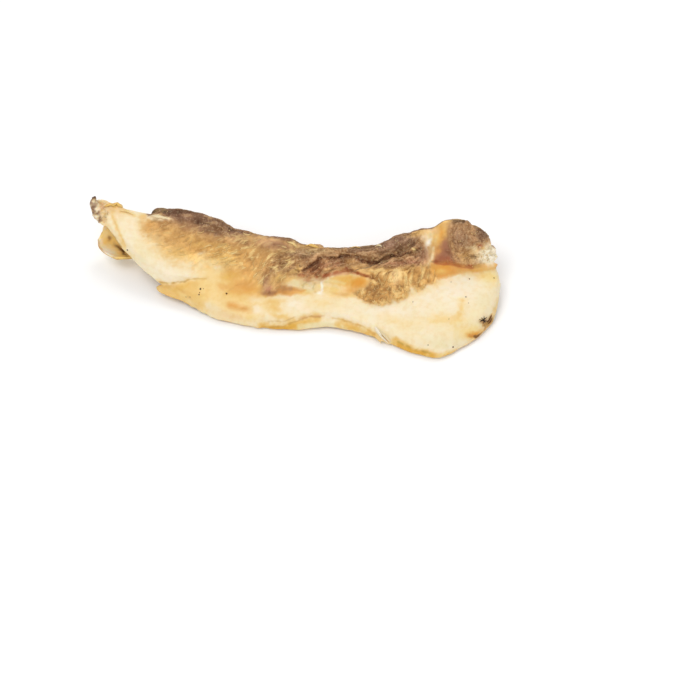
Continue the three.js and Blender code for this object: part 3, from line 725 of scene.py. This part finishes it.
class Skin:
    """The points of the surface, where they lie on the picture, and how much of each tissue there is"""

    # How far from a mark the grain takes its direction, and by how many radians it wanders from it
    GRAIN_REACH = 20
    GRAIN_WANDER = 0.3
    BACK_GRAIN = np.array([1.0, 0.0, 0.12])
    # A crack lies where the pattern of bundles is nearer than this to its mean
    CRACK_WIDTH = 0.2

    def __init__(self, points, normals):
        self.points = points
        self.normals = normals
        self.still = picture(points)
        self.lines = self.still + self.drift(1.0, 2.2, SEED + 21)
        self.spots = self.still + self.drift(2.2, 6.0, SEED + 1) + self.drift(1.1, 1.5, SEED + 11)
        self.flecks = np.clip(evened(fractal(points, 1.6, SEED + 61, 2)), -1.8, 1.8)
        self.seen = ramp(normals @ TO_CAMERA, -0.12, 0.18)
        self.lobe = self.lobe_share()
        self.back = self.back_share() * (1 - self.lobe)
        self.under = ramp(-normals[:, 2], 0.05, 0.4) * (1 - self.back) * (1 - self.lobe)
        self.front = self.seen * (1 - self.lobe) * (1 - self.back)
        self.grain = self.grain_directions()
        self.streaks = evened(self.streaky(1.0, 1, 3.0) + 0.7 * self.streaky(2.2, 2, 6.0))
        self.wisps = evened(self.streaky(0.95, 5, 1.7, along=self.curled(0.25, 5.0)))
        self.grit = evened(fractal(points, 1.2, SEED + 71, 2))
        self.crags = evened(fractal(points, 4.6, SEED + 73, 3))
        self.layers = evened(noise(points, (14.0, 6.0, 2.4), 83))
        self.combed = area(self.spots, COMBED, 8)
        self.lump = area(self.spots, LUMP, 8)
        self.wool = self.woolly()
        self.fuzz = area(self.spots, FUZZ, 5) * self.front
        self.fat = area(self.spots, SMOOTH_FAT, 5) * self.front
        self.meat = self.meat_share()
        self.rugged = self.rugged_share()
        self.cracks = self.crack_share()

    def drift(self, amount, size, seed):
        """Pixels by which the marks stray from their drawn outlines"""
        return amount * np.stack([fractal(self.points, size, seed + step) for step in (0, 7)], axis=1)

    def lobe_share(self):
        away = np.linalg.norm((self.points - LOBE_MIDDLE) / LOBE_SIZE, axis=1)
        return ramp(1.0 - away, 0, 0.12)

    def back_share(self):
        """The back, but not at the left end or at the foot"""
        lowest_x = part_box(NODE)[0][0] / MM
        x, _, z = self.points.T
        return ramp(self.normals[:, 1], 0.25, 0.55) * ramp(x - lowest_x, 24, 30) * ramp(z, 0.8, 2.8)

    def grain_directions(self):
        """Unit vectors along the surface in the way its fibres run"""
        cosine, sine = np.zeros((2, len(self.points)))
        for x, y, degrees in GRAIN:
            weight = 1 / (((self.still - (x, y)) ** 2).sum(axis=1) + self.GRAIN_REACH) ** 2
            cosine += weight * math.cos(2 * math.radians(degrees))
            sine += weight * math.sin(2 * math.radians(degrees))
        angle = 0.5 * np.arctan2(sine, cosine)
        angle += self.GRAIN_WANDER * noise(self.points, 4.0, SEED + 31)
        along = np.cos(angle)[:, None] * PICTURE_RIGHT + np.sin(angle)[:, None] * PICTURE_UP
        behind = (self.back + self.under)[:, None]
        along = along * (1 - behind) + self.BACK_GRAIN * behind
        return unit(along - (along * self.normals).sum(axis=1)[:, None] * self.normals)

    def curled(self, amount, size):
        """The grain turned to and fro by about `amount` radians over `size` millimetres"""
        angle = (amount * evened(noise(self.points, size, SEED + 33)))[:, None]
        return self.grain * np.cos(angle) + np.cross(self.normals, self.grain) * np.sin(angle)

    def streaky(self, size, seed, reach, steps=9, along=None):
        """Noise drawn out along the grain, or along another direction"""
        along = self.grain if along is None else along
        total = np.zeros(len(self.points))
        for t in np.linspace(-reach, reach, steps):
            total += noise(self.points + t * along, size, SEED + 40 + seed)
        return total

    def woolly(self):
        """Curls, and straight strands where the fibres hang side by side"""
        curls = self.streaky(1.4, 4, 2.0, along=self.curled(1.5, 3.0))
        curls = evened(curls + 0.8 * noise(self.points, 1.6, SEED + 75))
        strands = evened(self.streaky(1.1, 6, 3.2))
        return curls + (strands - curls) * self.combed

    def meat_share(self):
        """Meat inside its outlines, torn along the edges by the fibres, and all over the back"""
        drawn = np.max([
            area(self.spots, MEAT_LEFT, 26),
            area(self.spots, MEAT_MIDDLE, 6),
            area(self.spots, MEAT_RIGHT, 5),
            self.fuzz,
        ], axis=0)
        torn = drawn + drawn * (1 - drawn) * (0.5 * self.streaks + 0.4 * self.grit)
        return np.maximum(np.clip(torn, 0, 1) * self.front, self.back)

    def rugged_share(self):
        """How craggy the meat is: most on the ridge and the lump, and less on the dark band"""
        ridge = area(self.spots, MID_RIDGE, 12)
        band = 0.8 * area(self.spots, DARK_BAND, 10)
        return np.max([ridge, self.lump, band], axis=0) * self.front * (1 - self.fuzz)

    def crack_share(self):
        """Thin gaps between the bundles of fibres"""
        bundles = evened(self.streaky(2.4, 3, 4.0))
        here = cloudy(self.points, 6.0, SEED + 81, 0.4, 1.2, 2)
        rough = np.maximum(self.rugged, 0.8 * self.back) * (1 - self.fat)
        return smooth(1 - np.abs(bundles) / self.CRACK_WIDTH) * here * rough

    def blend(self, weights):
        """A sum of patterns by tissue: the first one's everywhere, and each other's where that tissue is"""
        total = None
        for tissue, patterns in weights.items():
            own = sum(amount * getattr(self, pattern) for pattern, amount in patterns.items())
            total = own if total is None else total + (own - total) * getattr(self, tissue)
        return total


def relief(skin):
    """Height added to the surface, in millimetres"""
    height = skin.meat * skin.blend(RELIEF) * (1 - 0.8 * skin.fat)
    for depth, width, points in GROOVES:
        height -= depth * stroke(skin.lines, points, width / 2, width) * skin.front
    for rise, *mark in RISES:
        height += rise * oval(skin.spots, *mark) * skin.front
    waves = 0.12 * fractal(skin.points, 7.0, 101, 2) + 0.03 * noise(skin.points, 1.6, 107)
    height += (1 - skin.meat) * waves
    crumbly = np.maximum(oval(skin.spots, *CRUMBLY_ROUGH), area(skin.spots, TIP + TIP_INNER, 6)) * skin.front
    return height + crumbly * 0.4 * np.maximum(0, skin.grit)


# Colour

# How much the flecks break up the soft edges of a wash
EDGE_FLECKS = 0.35
# A pattern changes blue more than red, so that its dark places are browner
BROWNING = (0.9, 1.1, 1.35)


def display(code):
    """A colour from 0 to 1 as seen on a screen, from a six-digit code"""
    return np.array([int(code[i:i + 2], 16) / 255 for i in (0, 2, 4)])


def to_linear(colour):
    """Values as seen on a screen, turned into amounts of light"""
    return np.where(colour <= 0.04045, colour / 12.92, ((colour + 0.055) / 1.055) ** 2.4)


def shade(code):
    """A six-digit code as a colour for a shader"""
    return tuple(to_linear(display(code))) + (1.0,)


def lay(colours, name, share):
    """Turns the colours towards one of the palette, point by point"""
    colours += (display(PALETTE[name]) - colours) * np.clip(share, 0, 1)[:, None]


def washed(colours, washes, skin, where):
    """Lays the washes in their order"""
    for name, marks in washes:
        for share, shape in marks:
            drawn = shape(skin)
            lay(colours, name, share * (drawn + EDGE_FLECKS * drawn * (1 - drawn) * skin.flecks) * where)


def painted(skin, hollow):
    """The colour of every point, as seen on a screen"""
    colours = np.tile(display(PALETTE["ivory"]), (len(skin.points), 1))
    clouds = cloudy(skin.points, 11.0, 131, 0.5, 0.9)
    lay(colours, "butter", 0.28 * clouds)
    lay(colours, "white", 0.25 * cloudy(skin.points, 3.0, 137, 0.5, 1.1))
    washed(colours, CARTILAGE_WASHES, skin, skin.front)
    lay(colours, "gold", skin.under * (0.35 + 0.5 * clouds))
    lay(colours, "fawn", skin.under * 0.5 * cloudy(skin.points, 5.0, 151, 0.2, 1.6))
    washed(colours, MEAT_WASHES, skin, skin.front)
    paint_texture_and_shading(colours, skin)
    paint_back(colours, skin)
    washed(colours, RIM_WASHES, skin, skin.seen * (1 - skin.lobe))
    # The lobe's straw colour: partly its own yellow, partly painted light, as it lies in the blade's shade
    lay(colours, "straw", skin.lobe)
    washed(colours, LOBE_WASHES, skin, skin.lobe)
    # Painted light on the lobe and the crumbs, which lie in shade
    colours *= 1 + LOBE_PAINTED_LIGHT * skin.lobe[:, None]
    colours *= 1 + CRUMB_PAINTED_LIGHT * (oval(skin.spots, *CRUMBLY_PALE_AND_LIT) * skin.seen)[:, None]
    # Painted shade: meat turns towards umber in its hollows. Cartilage turns towards honey in its hollows.
    hollow = np.clip(hollow, 0, 1)
    lay(colours, "umber", 0.18 * hollow * skin.meat)
    lay(colours, "honey", 0.4 * hollow * (1 - skin.meat))
    return colours


def paint_texture_and_shading(colours, skin):
    """Darker gaps and paler tips of the fibres: partly the meat's own tone, partly painted shade in sunken
    places and painted highlight on raised ones
    """
    calm = (1 - 0.6 * skin.fat) * (1 - 0.45 * skin.lump) * (1 - skin.back)
    depth = skin.meat * (0.07 + 0.05 * skin.rugged + 0.04 * skin.fuzz) * calm
    colours *= 1 + (depth * np.clip(skin.blend(TEXTURE_AND_SHADING), -2.5, 2))[:, None] * BROWNING
    wispy = np.max([area(skin.spots, WISPS, 24), 0.3 * area(skin.spots, MEAT_LEFT, 12)], axis=0) * skin.front
    wispy *= smooth(0.75 + 0.5 * skin.crags)
    strands = 0.2 * skin.streaks + skin.wisps
    # Raised strands and curls are painted paler and the low places between them darker: partly their own
    # colours, partly painted highlight and shade
    lay(colours, "butter", 0.9 * wispy * ramp(strands, 0.7, 1.3))
    lay(colours, "brown", 0.35 * wispy * ramp(-strands, 0.5, 1.5))
    lay(colours, "butter", 0.65 * skin.fuzz * ramp(skin.wool, 0.2, 1.3))
    lay(colours, "brown", 0.4 * skin.fuzz * ramp(-skin.wool, 0.5, 1.6))
    # The sunken cracks: partly their own dark colour and partly painted shade
    lay(colours, "umber", 0.4 * skin.cracks * skin.meat)


def paint_back(colours, skin):
    """Layers of dried meat, with pale fat between them"""
    height = skin.points[:, 2] + 1.6 * fractal(skin.points, 9.0, 161, 3)

    def layers(length, thickness, seed):
        stretched = [skin.points[:, 0] / length, height / thickness, 0 * height]
        return noise(np.stack(stretched, axis=1), 1.0, seed)

    lay(colours, "fawn", skin.back)
    lay(colours, "dusk", skin.back * smooth(0.4 + 1.2 * layers(22, 2.1, 163)))
    lay(colours, "plum", skin.back * 0.6 * cloudy(skin.points, 7.0, 169, 0.0, 1.4, 2))
    lay(colours, "butter", skin.back * 0.8 * ramp(layers(16, 3.4, 167), 0.25, 0.55))
    lay(colours, "dusk", skin.back * 0.75 * ramp(skin.normals[:, 2], 0.15, 0.55))
    lay(colours, "umber", skin.back * 0.15 * np.clip(-skin.streaks, 0, 2))
    lay(colours, "cream", skin.back * 0.12 * np.clip(skin.streaks, 0, 2))


# Building the mesh

def placed(name, data):
    """A new object in the scene"""
    thing = bpy.data.objects.new(name, data)
    bpy.context.collection.objects.link(thing)
    return thing


def welded(source):
    """A copy of a mesh in which corners at one place are one vertex"""
    bm = bmesh.new()
    bm.from_mesh(source)
    bmesh.ops.remove_doubles(bm, verts=bm.verts, dist=WELD_DISTANCE * MM)
    mesh = bpy.data.meshes.new("welded")
    bm.to_mesh(mesh)
    bm.free()
    return mesh


def evenly_meshed(name, source):
    """A new object with the source's form, in even small squares"""
    piece = placed(name, welded(source.data))
    even = piece.modifiers.new("even", "REMESH")
    even.mode = "VOXEL"
    even.voxel_size = VOXEL * MM
    mesh = bpy.data.meshes.new_from_object(piece.evaluated_get(bpy.context.evaluated_depsgraph_get()))
    piece.modifiers.clear()
    piece.data = mesh
    mesh.materials.clear()
    return piece


def listed(items, name, width, kind=float):
    """A row of numbers for each vertex, normal or edge of a mesh"""
    flat = np.empty(len(items) * width, kind)
    items.foreach_get(name, flat)
    return flat.reshape(-1, width)


def move_to(mesh, points):
    mesh.vertices.foreach_set("co", (points * MM).ravel())
    mesh.update()


def neighbour_mean(values, ends):
    """For each vertex, the mean over those that an edge joins to it"""
    total = np.zeros_like(values)
    count = np.maximum(np.bincount(ends.ravel(), minlength=len(values)), 1)
    for a, b in ((0, 1), (1, 0)):
        for column in range(values.shape[1]):
            total[:, column] += np.bincount(ends[:, a], values[ends[:, b], column], len(values))
    return total / count[:, None]


def smoothed(points, ends, rounds):
    """Rounds off the facets without shrinking the piece"""
    for _ in range(rounds):
        for step in SMOOTHING_STEPS:
            points = points + step * (neighbour_mean(points, ends) - points)
    return points


def dress(mesh, colours, **shares):
    """Stores the paint and the shares that the material reads, and smooths the faces"""
    paint = np.minimum(to_linear(np.maximum(colours, 0)) / LIGHT_LEVEL, 1)
    rgba = np.concatenate([paint, np.ones((len(colours), 1))], axis=1)
    attribute = mesh.attributes.new("paint", "FLOAT_COLOR", "POINT")
    attribute.data.foreach_set("color", rgba.astype(np.float32).ravel())
    for name, values in shares.items():
        attribute = mesh.attributes.new(name, "FLOAT", "POINT")
        attribute.data.foreach_set("value", values.astype(np.float32))
    for polygon in mesh.polygons:
        polygon.use_smooth = True


def dried_piece():
    """The dressed piece, its skin and its colours"""
    piece = evenly_meshed("dried_piece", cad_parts[NODE])
    mesh = piece.data
    ends = listed(mesh.edges, "vertices", 2, np.int64)
    points = smoothed(listed(mesh.vertices, "co", 3) / MM, ends, SMOOTHING_ROUNDS)
    crease = area(picture(points), FOOT_OF_RIDGE, 8)[:, None]
    for _ in range(CREASE_ROUNDS):
        points = points + SMOOTHING_STEPS[0] * crease * (neighbour_mean(points, ends) - points)
    move_to(mesh, points)
    skin = Skin(points, listed(mesh.vertex_normals, "vector", 3))
    height = relief(skin)
    points = points + skin.normals * height[:, None]
    points[:, 2] = np.maximum(points[:, 2], 0)
    move_to(mesh, points)

    # A place is hollow where it lies below its surroundings, and the meat gets painted shade there
    around = height[:, None]
    for _ in range(HOLLOW_ROUNDS):
        around = neighbour_mean(around, ends)
    colours = painted(skin, hollow=(around[:, 0] - height) / HOLLOW_DEPTH)
    dress(
        mesh, colours,
        meat=skin.meat * (1 - 0.6 * skin.fat),
        rugged=np.maximum(skin.rugged, 0.7 * skin.back),
        gloss=area(skin.spots, GLASSY, 5) * skin.front,
    )
    return piece, skin, colours


# Fibres and crumbs that lie on the surface, as real geometry

class Scraps:
    """Collects thin tapering strands and small crumbs into one mesh"""

    SIDES = 5
    TAPER = 0.6
    BLUNT_END = 0.03
    STRAND_STEPS = 6
    DRAWN_STEPS = 4
    CRUMB_FLATNESS = 0.6
    MEATINESS = 0.8

    def __init__(self, piece, skin, colours):
        self.surface = BVHTree.FromObject(piece, bpy.context.evaluated_depsgraph_get())
        self.skin = skin
        self.colours = colours
        self.random = random.Random(SEED)
        self.vertices, self.faces, self.paint = [], [], []
        self.near = KDTree(len(skin.points))
        for i, point in enumerate(skin.points):
            self.near.insert(point, i)
        self.near.balance()

    def on_surface(self, point):
        """The nearest place on the surface, in millimetres, and its normal"""
        place, normal, _, _ = self.surface.find_nearest(Vector(point) * MM)
        return np.array(place) / MM, np.array(normal)

    def seen_at(self, x, y):
        """The place on the surface that a pixel of the picture shows, or None"""
        place, _, _, _ = self.surface.ray_cast(Vector(EYE) * MM, Vector(ray(x, y)))
        return None if place is None else np.array(place) / MM

    def mixed(self, point, tint, share):
        """The surface's own colour at a point, turned towards a tint"""
        under = self.colours[self.near.find(point)[1]]
        return under + (display(PALETTE[tint]) - under) * share

    def picks(self, mask, count):
        """Points of the surface by number, at random where the mask allows"""
        weight = np.cumsum(mask)
        for _ in range(count):
            yield min(int(np.searchsorted(weight, self.random.random() * weight[-1])), len(mask) - 1)

    def strand(self, path, width, colour, lift, flat=0.4):
        """A strand along points near the surface; lift is how far its middle stands off, in millimetres"""
        rings = []
        last = len(path) - 1
        for i, point in enumerate(path):
            t = i / last
            place, normal = self.on_surface(point)
            taper = math.sin(math.pi * min(1 - self.BLUNT_END, max(self.BLUNT_END, t))) ** self.TAPER
            centre = place + normal * (lift * math.sin(math.pi * t) + 0.1 * width)
            ahead = np.array(path[min(last, i + 1)]) - np.array(path[max(0, i - 1)])
            side = np.cross(normal, ahead)
            side /= max(np.linalg.norm(side), TINY)
            ring = []
            for j in range(self.SIDES):
                a = 2 * math.pi * j / self.SIDES
                offset = side * math.cos(a) + normal * math.sin(a) * flat
                ring.append(centre + 0.5 * width * taper * offset)
            rings.append(ring)
        self.join(rings)
        self.paint += [colour] * (len(rings) * self.SIDES)

    def join(self, rings):
        """Faces between the rings, and one over each end"""
        n = self.SIDES
        first = len(self.vertices)
        last = first + (len(rings) - 1) * n
        self.vertices += [tuple(p * MM) for ring in rings for p in ring]
        for a in range(first, last, n):
            for j in range(n):
                k = (j + 1) % n
                self.faces.append((a + j, a + k, a + n + k, a + n + j))
        self.faces.append(tuple(first + j for j in reversed(range(n))))
        self.faces.append(tuple(last + j for j in range(n)))

    def scatter(self, mask, count, length, width, tint, share, lift=0.1, stray=0.25, curl=0.0):
        """Strands along the grain, tinted by the surface under them"""
        for k in self.picks(mask, count):
            point, normal, along = self.skin.points[k], self.skin.normals[k], self.skin.grain[k]
            across = np.cross(normal, along)
            turn = self.random.gauss(0, stray)
            bend = self.random.gauss(0, curl)
            reach = length * self.random.uniform(0.4, 1.3)
            path = []
            for i in range(self.STRAND_STEPS):
                t = i / (self.STRAND_STEPS - 1) - 0.5
                a = turn + bend * t
                path.append(point + reach * t * (along * math.cos(a) + across * math.sin(a)))
            colour = self.mixed(point, tint, share * self.random.uniform(0.3, 1.0))
            thickness = width * self.random.uniform(0.6, 1.3)
            self.strand(path, thickness, colour, lift * self.random.uniform(0.2, 1.4))

    def draw(self, pixels, width, tint, share, lift, flat=0.6):
        """A strand along a line on the picture"""
        path = []
        for (x0, y0), (x1, y1) in zip(pixels, pixels[1:]):
            for i in range(self.DRAWN_STEPS):
                t = i / self.DRAWN_STEPS
                path.append(self.seen_at(x0 + (x1 - x0) * t, y0 + (y1 - y0) * t))
        path.append(self.seen_at(*pixels[-1]))
        path = [p for p in path if p is not None]
        if len(path) > 2:
            self.strand(path, width, self.mixed(path[len(path) // 2], tint, share), lift, flat)

    def crumb(self, point, size, colour):
        """An uneven little grain that sits on the surface"""
        place, normal = self.on_surface(point)
        start = len(self.vertices)
        solid = bmesh.new()
        bmesh.ops.create_icosphere(solid, subdivisions=1, radius=1.0)
        for vertex in solid.verts:
            offset = np.array(vertex.co) * self.random.uniform(0.75, 1.2)
            offset -= (1 - self.CRUMB_FLATNESS) * (offset @ normal) * normal
            self.vertices.append(tuple((place + 0.5 * size * (offset + 0.2 * normal)) * MM))
            self.paint.append(colour)
        self.faces += [tuple(start + vertex.index for vertex in face.verts) for face in solid.faces]
        solid.free()

    def sprinkle(self, mask, count, size, tint, share):
        for k in self.picks(mask, count):
            point = self.skin.points[k]
            self.crumb(point, size * self.random.uniform(0.5, 1.5), self.mixed(point, tint, share))

    def build(self, name):
        mesh = bpy.data.meshes.new(name)
        mesh.from_pydata(self.vertices, [], self.faces)
        mesh.update()
        zeros = np.zeros(len(self.vertices))
        dress(mesh, np.array(self.paint), meat=zeros + self.MEATINESS, rugged=zeros, gloss=zeros)
        return placed(name, mesh)


# Wide thin shreds: width in millimetres, colour and line on the picture
SHREDS = [
    (1.6, "white", [(375, 326.5), (378, 331), (382, 336)]),
    (0.8, "cream", [(379, 330), (385, 336), (390, 342)]),
    (0.9, "white", [(378, 333), (383, 338), (388, 343)]),
    (0.7, "cream", [(382, 332), (388, 338), (391, 342)]),
    (1.6, "cream", [(151, 216), (160, 217.5), (168, 219)]),
    (1.2, "butter", [(157, 282), (156, 287), (158, 292)]),
    (1.4, "gold", [(104, 207), (110, 205), (116, 207)]),
    (1.6, "gold", [(112, 206), (117, 204), (122, 208)]),
    (0.8, "butter", [(120, 211), (127, 212), (133, 215)]),
    (1.4, "gold", [(305, 246), (312, 245.5), (319, 248)]),
    (0.9, "gold", [(350, 248), (356, 247.5), (361, 248.5)]),
    (1.0, "butter", [(411, 248), (416, 250)]),
    (0.8, "cream", [(486, 250), (492, 248)]),
    (0.8, "cream", [(489, 252), (493, 257)]),
    (1.2, "butter", [(287, 242), (293, 244), (297, 247)]),
    (1.0, "cream", [(375, 246.5), (379, 245.5), (382, 246.5)]),
]
# Small dark specks: x, y, diameter in millimetres
SPECKS = [
    (200.5, 289, 0.95), (199, 294.5, 0.75), (199.6, 292.6, 0.5), (226.5, 293.5, 0.9), (190, 297, 0.5),
    (127.5, 250, 0.75), (469.5, 279, 0.6), (466, 297, 0.65), (413, 302, 0.45), (494, 278, 0.6),
    (451, 282, 0.45), (468.5, 303, 0.45), (449, 319, 0.45), (428, 345, 0.5), (453, 347, 0.7),
    (203.5, 288.7, 0.4), (186, 297, 0.4),
]
# The burnt star, arm by arm
CHAR = [
    [(479.5, 322), (483, 320), (487, 317)], [(481, 317.5), (484, 321), (485.5, 323)],
    [(483.5, 323.5), (484, 320), (484, 316)], [(479, 319.5), (484, 321), (488, 321)],
]
# The burnt crust at the rim beside it
SCORCHED = [
    [(488.5, 320), (490.5, 317.5), (491.5, 314.5)], [(488, 324), (490.5, 321.5), (492, 318)],
    [(487, 322.5), (489.5, 319.5), (491, 316.5)],
]
# Strands grow only where there is more meat than this, in front and behind
MEAT_IN_FRONT = 0.55
MEAT_BEHIND = 0.6
# Where parts of the meat begin or end on the picture
DARK_BAND_FOOT = 222
LEFT_MEAT_END = 300
RIDGE_START = 270
RIDGE_END = 428
LUMP_START = 446


def meat_fibres(scraps, skin):
    meaty = np.where(skin.meat > MEAT_IN_FRONT, skin.meat, 0)
    firm = meaty * skin.front * (1 - skin.fuzz) * (1 - skin.fat)
    x, y = skin.still.T
    left = firm * (x < LEFT_MEAT_END) * (y > DARK_BAND_FOOT) * (1 - 0.7 * skin.rugged)
    wispy = np.where(skin.meat > MEAT_IN_FRONT, area(skin.spots, WISPS, 20), 0) * skin.front
    ridge = firm * (x >= RIDGE_START) * (x < RIDGE_END) * skin.rugged
    lump = firm * (x > LUMP_START)
    scraps.scatter(left, 110, 3.4, 0.45, "butter", 0.5, lift=0.0)
    scraps.scatter(wispy, 60, 3.4, 0.6, "butter", 0.8, lift=0.0, stray=0.15, curl=0.6)
    scraps.scatter(ridge, 110, 3.4, 0.45, "peach", 0.4, lift=0.05)
    scraps.scatter(lump, 70, 2.4, 0.4, "peach", 0.3, lift=0.05, stray=0.5)
    scraps.scatter(skin.back * (skin.meat > MEAT_BEHIND), 420, 6.0, 0.5, "butter", 0.45)


def fuzz(scraps, skin):
    wool = np.where(skin.fuzz > 0.3, skin.fuzz, 0)
    scraps.scatter(wool * (1 - skin.combed), 130, 2.2, 0.5, "butter", 0.6, lift=0.1, stray=0.7, curl=2.0)
    scraps.scatter(wool * skin.combed, 50, 3.8, 0.5, "butter", 0.5, lift=0.05, stray=0.15, curl=0.3)


def shreds(scraps, skin):
    for width, tint, pixels in SHREDS:
        scraps.draw(pixels, width, tint, share=0.9, lift=0.35, flat=0.3)


def crumbs(scraps, skin):
    """Specks, burnt crust and pale crumbs"""
    for x, y, size in SPECKS:
        point = scraps.seen_at(x, y)
        if point is not None:
            scraps.crumb(point, size, scraps.mixed(point, "umber", 0.85))
    for pixels in CHAR:
        scraps.draw(pixels, 0.5, "soot", share=0.95, lift=0.05)
    for pixels in SCORCHED:
        scraps.draw(pixels, 0.6, "liver", share=0.85, lift=0.05)
    right_end = oval(skin.still, *CRUMBLY_GRAINS) * skin.front
    tip = area(skin.still, TIP_INNER, 3) * skin.front
    scraps.sprinkle(right_end, 60, 0.8, "cream", 0.7)
    scraps.sprinkle(right_end, 14, 0.6, "fawn", 0.6)
    scraps.sprinkle(tip, 12, 0.6, "cream", 0.6)
    scraps.sprinkle(tip, 10, 0.5, "plum", 0.6)
    scraps.sprinkle(area(skin.still, TIP, 2) * skin.front, 6, 0.5, "butter", 0.6)
    scraps.sprinkle(skin.rugged * skin.meat, 150, 0.5, "butter", 0.6)
    scraps.sprinkle(skin.back * (skin.meat > MEAT_BEHIND), 160, 0.45, "butter", 0.5)


# Materials

class Nodes:
    """A short way to write node trees"""

    def __init__(self, name):
        self.material = bpy.data.materials.new(name)
        self.material.use_nodes = True
        self.tree = self.material.node_tree
        self.tree.nodes.clear()

    def add(self, kind, inputs, output=0, **settings):
        """A node's output; its inputs are fed by numbers, colours or other outputs"""
        node = self.tree.nodes.new("ShaderNode" + kind)
        for name, value in settings.items():
            setattr(node, name, value)
        for socket, value in inputs.items():
            if isinstance(value, (int, float, tuple)):
                node.inputs[socket].default_value = value
            else:
                self.tree.links.new(value, node.inputs[socket])
        return None if output is None else node.outputs[output]

    def attribute(self, name, output="Fac"):
        return self.add("Attribute", {}, output, attribute_name=name)

    def math(self, operation, *values):
        return self.add("Math", dict(enumerate(values)), operation=operation)

    def mix(self, share, a, b, blend="MIX"):
        sockets = {"Factor": share, "A": a, "B": b}
        return self.add("Mix", sockets, "Result", data_type="RGBA", blend_type=blend)

    def span(self, value, low, high):
        """0 below low, 1 above high"""
        sockets = {"Value": value, "From Min": low, "From Max": high}
        return self.add("MapRange", sockets, "Result", interpolation_type="SMOOTHSTEP")

    def noise(self, size, detail, rough=0.55):
        """Noise over the object, with bumps of that size in millimetres"""
        place = self.add("TexCoord", {}, "Object")
        sockets = {"Vector": place, "Scale": 1 / (size * MM), "Detail": detail, "Roughness": rough}
        return self.add("TexNoise", sockets, "Fac")

    def shaded(self, inputs):
        """The finished material, with these inputs of its shader"""
        shader = self.add("BsdfPrincipled", inputs, "BSDF")
        self.add("OutputMaterial", {"Surface": shader}, None)
        return self.material


def tissue_material():
    n = Nodes("dried_tissue")
    paint = n.attribute("paint", "Color")
    meat = n.attribute("meat")
    mottle = n.noise(2.4, 4.0)
    grain = n.noise(0.8, 3.0, 0.65)

    def between(share, none, full):
        """A value that goes from one number to another as the share goes from 0 to 1"""
        return n.math("MULTIPLY_ADD", share, full - none, none)

    # Cartilage is faintly clouded, and meat has dark gaps and pale tips of fibres; the grain noise nearly
    # matches the bump's, so these are partly painted shade in its dips and painted highlight on its bumps
    tinted = n.mix(1.0, paint, shade(CLOUD_TINT), "MULTIPLY")
    clouded = n.mix(n.span(mottle, 0.42, 0.68), paint, tinted)
    crisp = between(n.attribute("rugged"), 0.2, 0.6)
    darker = n.mix(1.0, paint, shade(GAP_TONE_AND_SHADE_TINT), "MULTIPLY")
    paler = n.mix(0.25, paint, shade(TIP_TONE_AND_HIGHLIGHT_TINT))
    meaty = n.mix(n.math("MULTIPLY", n.span(grain, 0.5, 0.36), crisp), paint, darker)
    meaty = n.mix(n.math("MULTIPLY", n.span(grain, 0.52, 0.66), crisp), meaty, paler)

    gloss = between(n.attribute("gloss"), 0, 0.26)
    bump = {
        "Distance": 0.25 * MM,
        "Strength": between(meat, 0.08, 0.33),
        "Height": n.noise(0.8, 5.0, 0.65),
    }
    return n.shaded({
        "Base Color": n.mix(n.span(meat, 0.1, 0.9), clouded, meaty),
        "Roughness": n.math("SUBTRACT", between(meat, 0.46, 0.74), gloss),
        "Specular IOR Level": 0.22,
        "Subsurface Weight": between(meat, 0.3, 0.06),
        "Subsurface Radius": (1.0, 0.6, 0.3),
        "Subsurface Scale": 1.6 * MM,
        "Normal": n.add("Bump", bump, "Normal"),
    })


# Stage

def floor():
    grey = (FLOOR_GREY, FLOOR_GREY, FLOOR_GREY, 1)
    mesh = bpy.data.meshes.new("floor")
    corners = [(FLOOR_HALF * x, FLOOR_HALF * y, 0) for x, y in ((-1, -1), (1, -1), (1, 1), (-1, 1))]
    mesh.from_pydata(corners, [], [(0, 1, 2, 3)])
    paint = Nodes("pale_floor").shaded({"Base Color": grey, "Roughness": 0.9, "Specular IOR Level": 0.1})
    mesh.materials.append(paint)
    return placed("floor", mesh)


def softbox(name, place, side, power):
    light = bpy.data.lights.new(name, "AREA")
    light.shape = "SQUARE"
    light.size = side
    light.energy = power
    lamp = placed(name, light)
    lamp.location = place
    lamp.rotation_euler = Vector(place).to_track_quat("Z", "Y").to_euler()


def surroundings():
    world = bpy.data.worlds.new("studio")
    world.use_nodes = True
    background = world.node_tree.nodes["Background"]
    background.inputs["Color"].default_value = (1, 1, 1, 1)
    background.inputs["Strength"].default_value = SURROUNDING_LIGHT
    bpy.context.scene.world = world
    bpy.context.scene.view_settings.view_transform = "Standard"


def camera():
    data = bpy.data.cameras.new("camera")
    data.lens = LENS
    data.sensor_width = SENSOR
    viewer = placed("camera", data)
    viewer.location = EYE * MM
    viewer.rotation_euler = (math.pi / 2 - ELEVATION, 0, 0)
    bpy.context.scene.camera = viewer


camera()
surroundings()
for name, (place, side, power) in LIGHTS.items():
    softbox(name, place, side, power)

main, skin, colours = dried_piece()
pieces = [main]
for make in (meat_fibres, fuzz, shreds, crumbs):
    scraps = Scraps(main, skin, colours)
    make(scraps, skin)
    pieces.append(scraps.build(make.__name__))
tissue = tissue_material()
for piece in pieces:
    piece.data.materials.append(tissue)
    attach(piece, "root")
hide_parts(NODE)
floor()
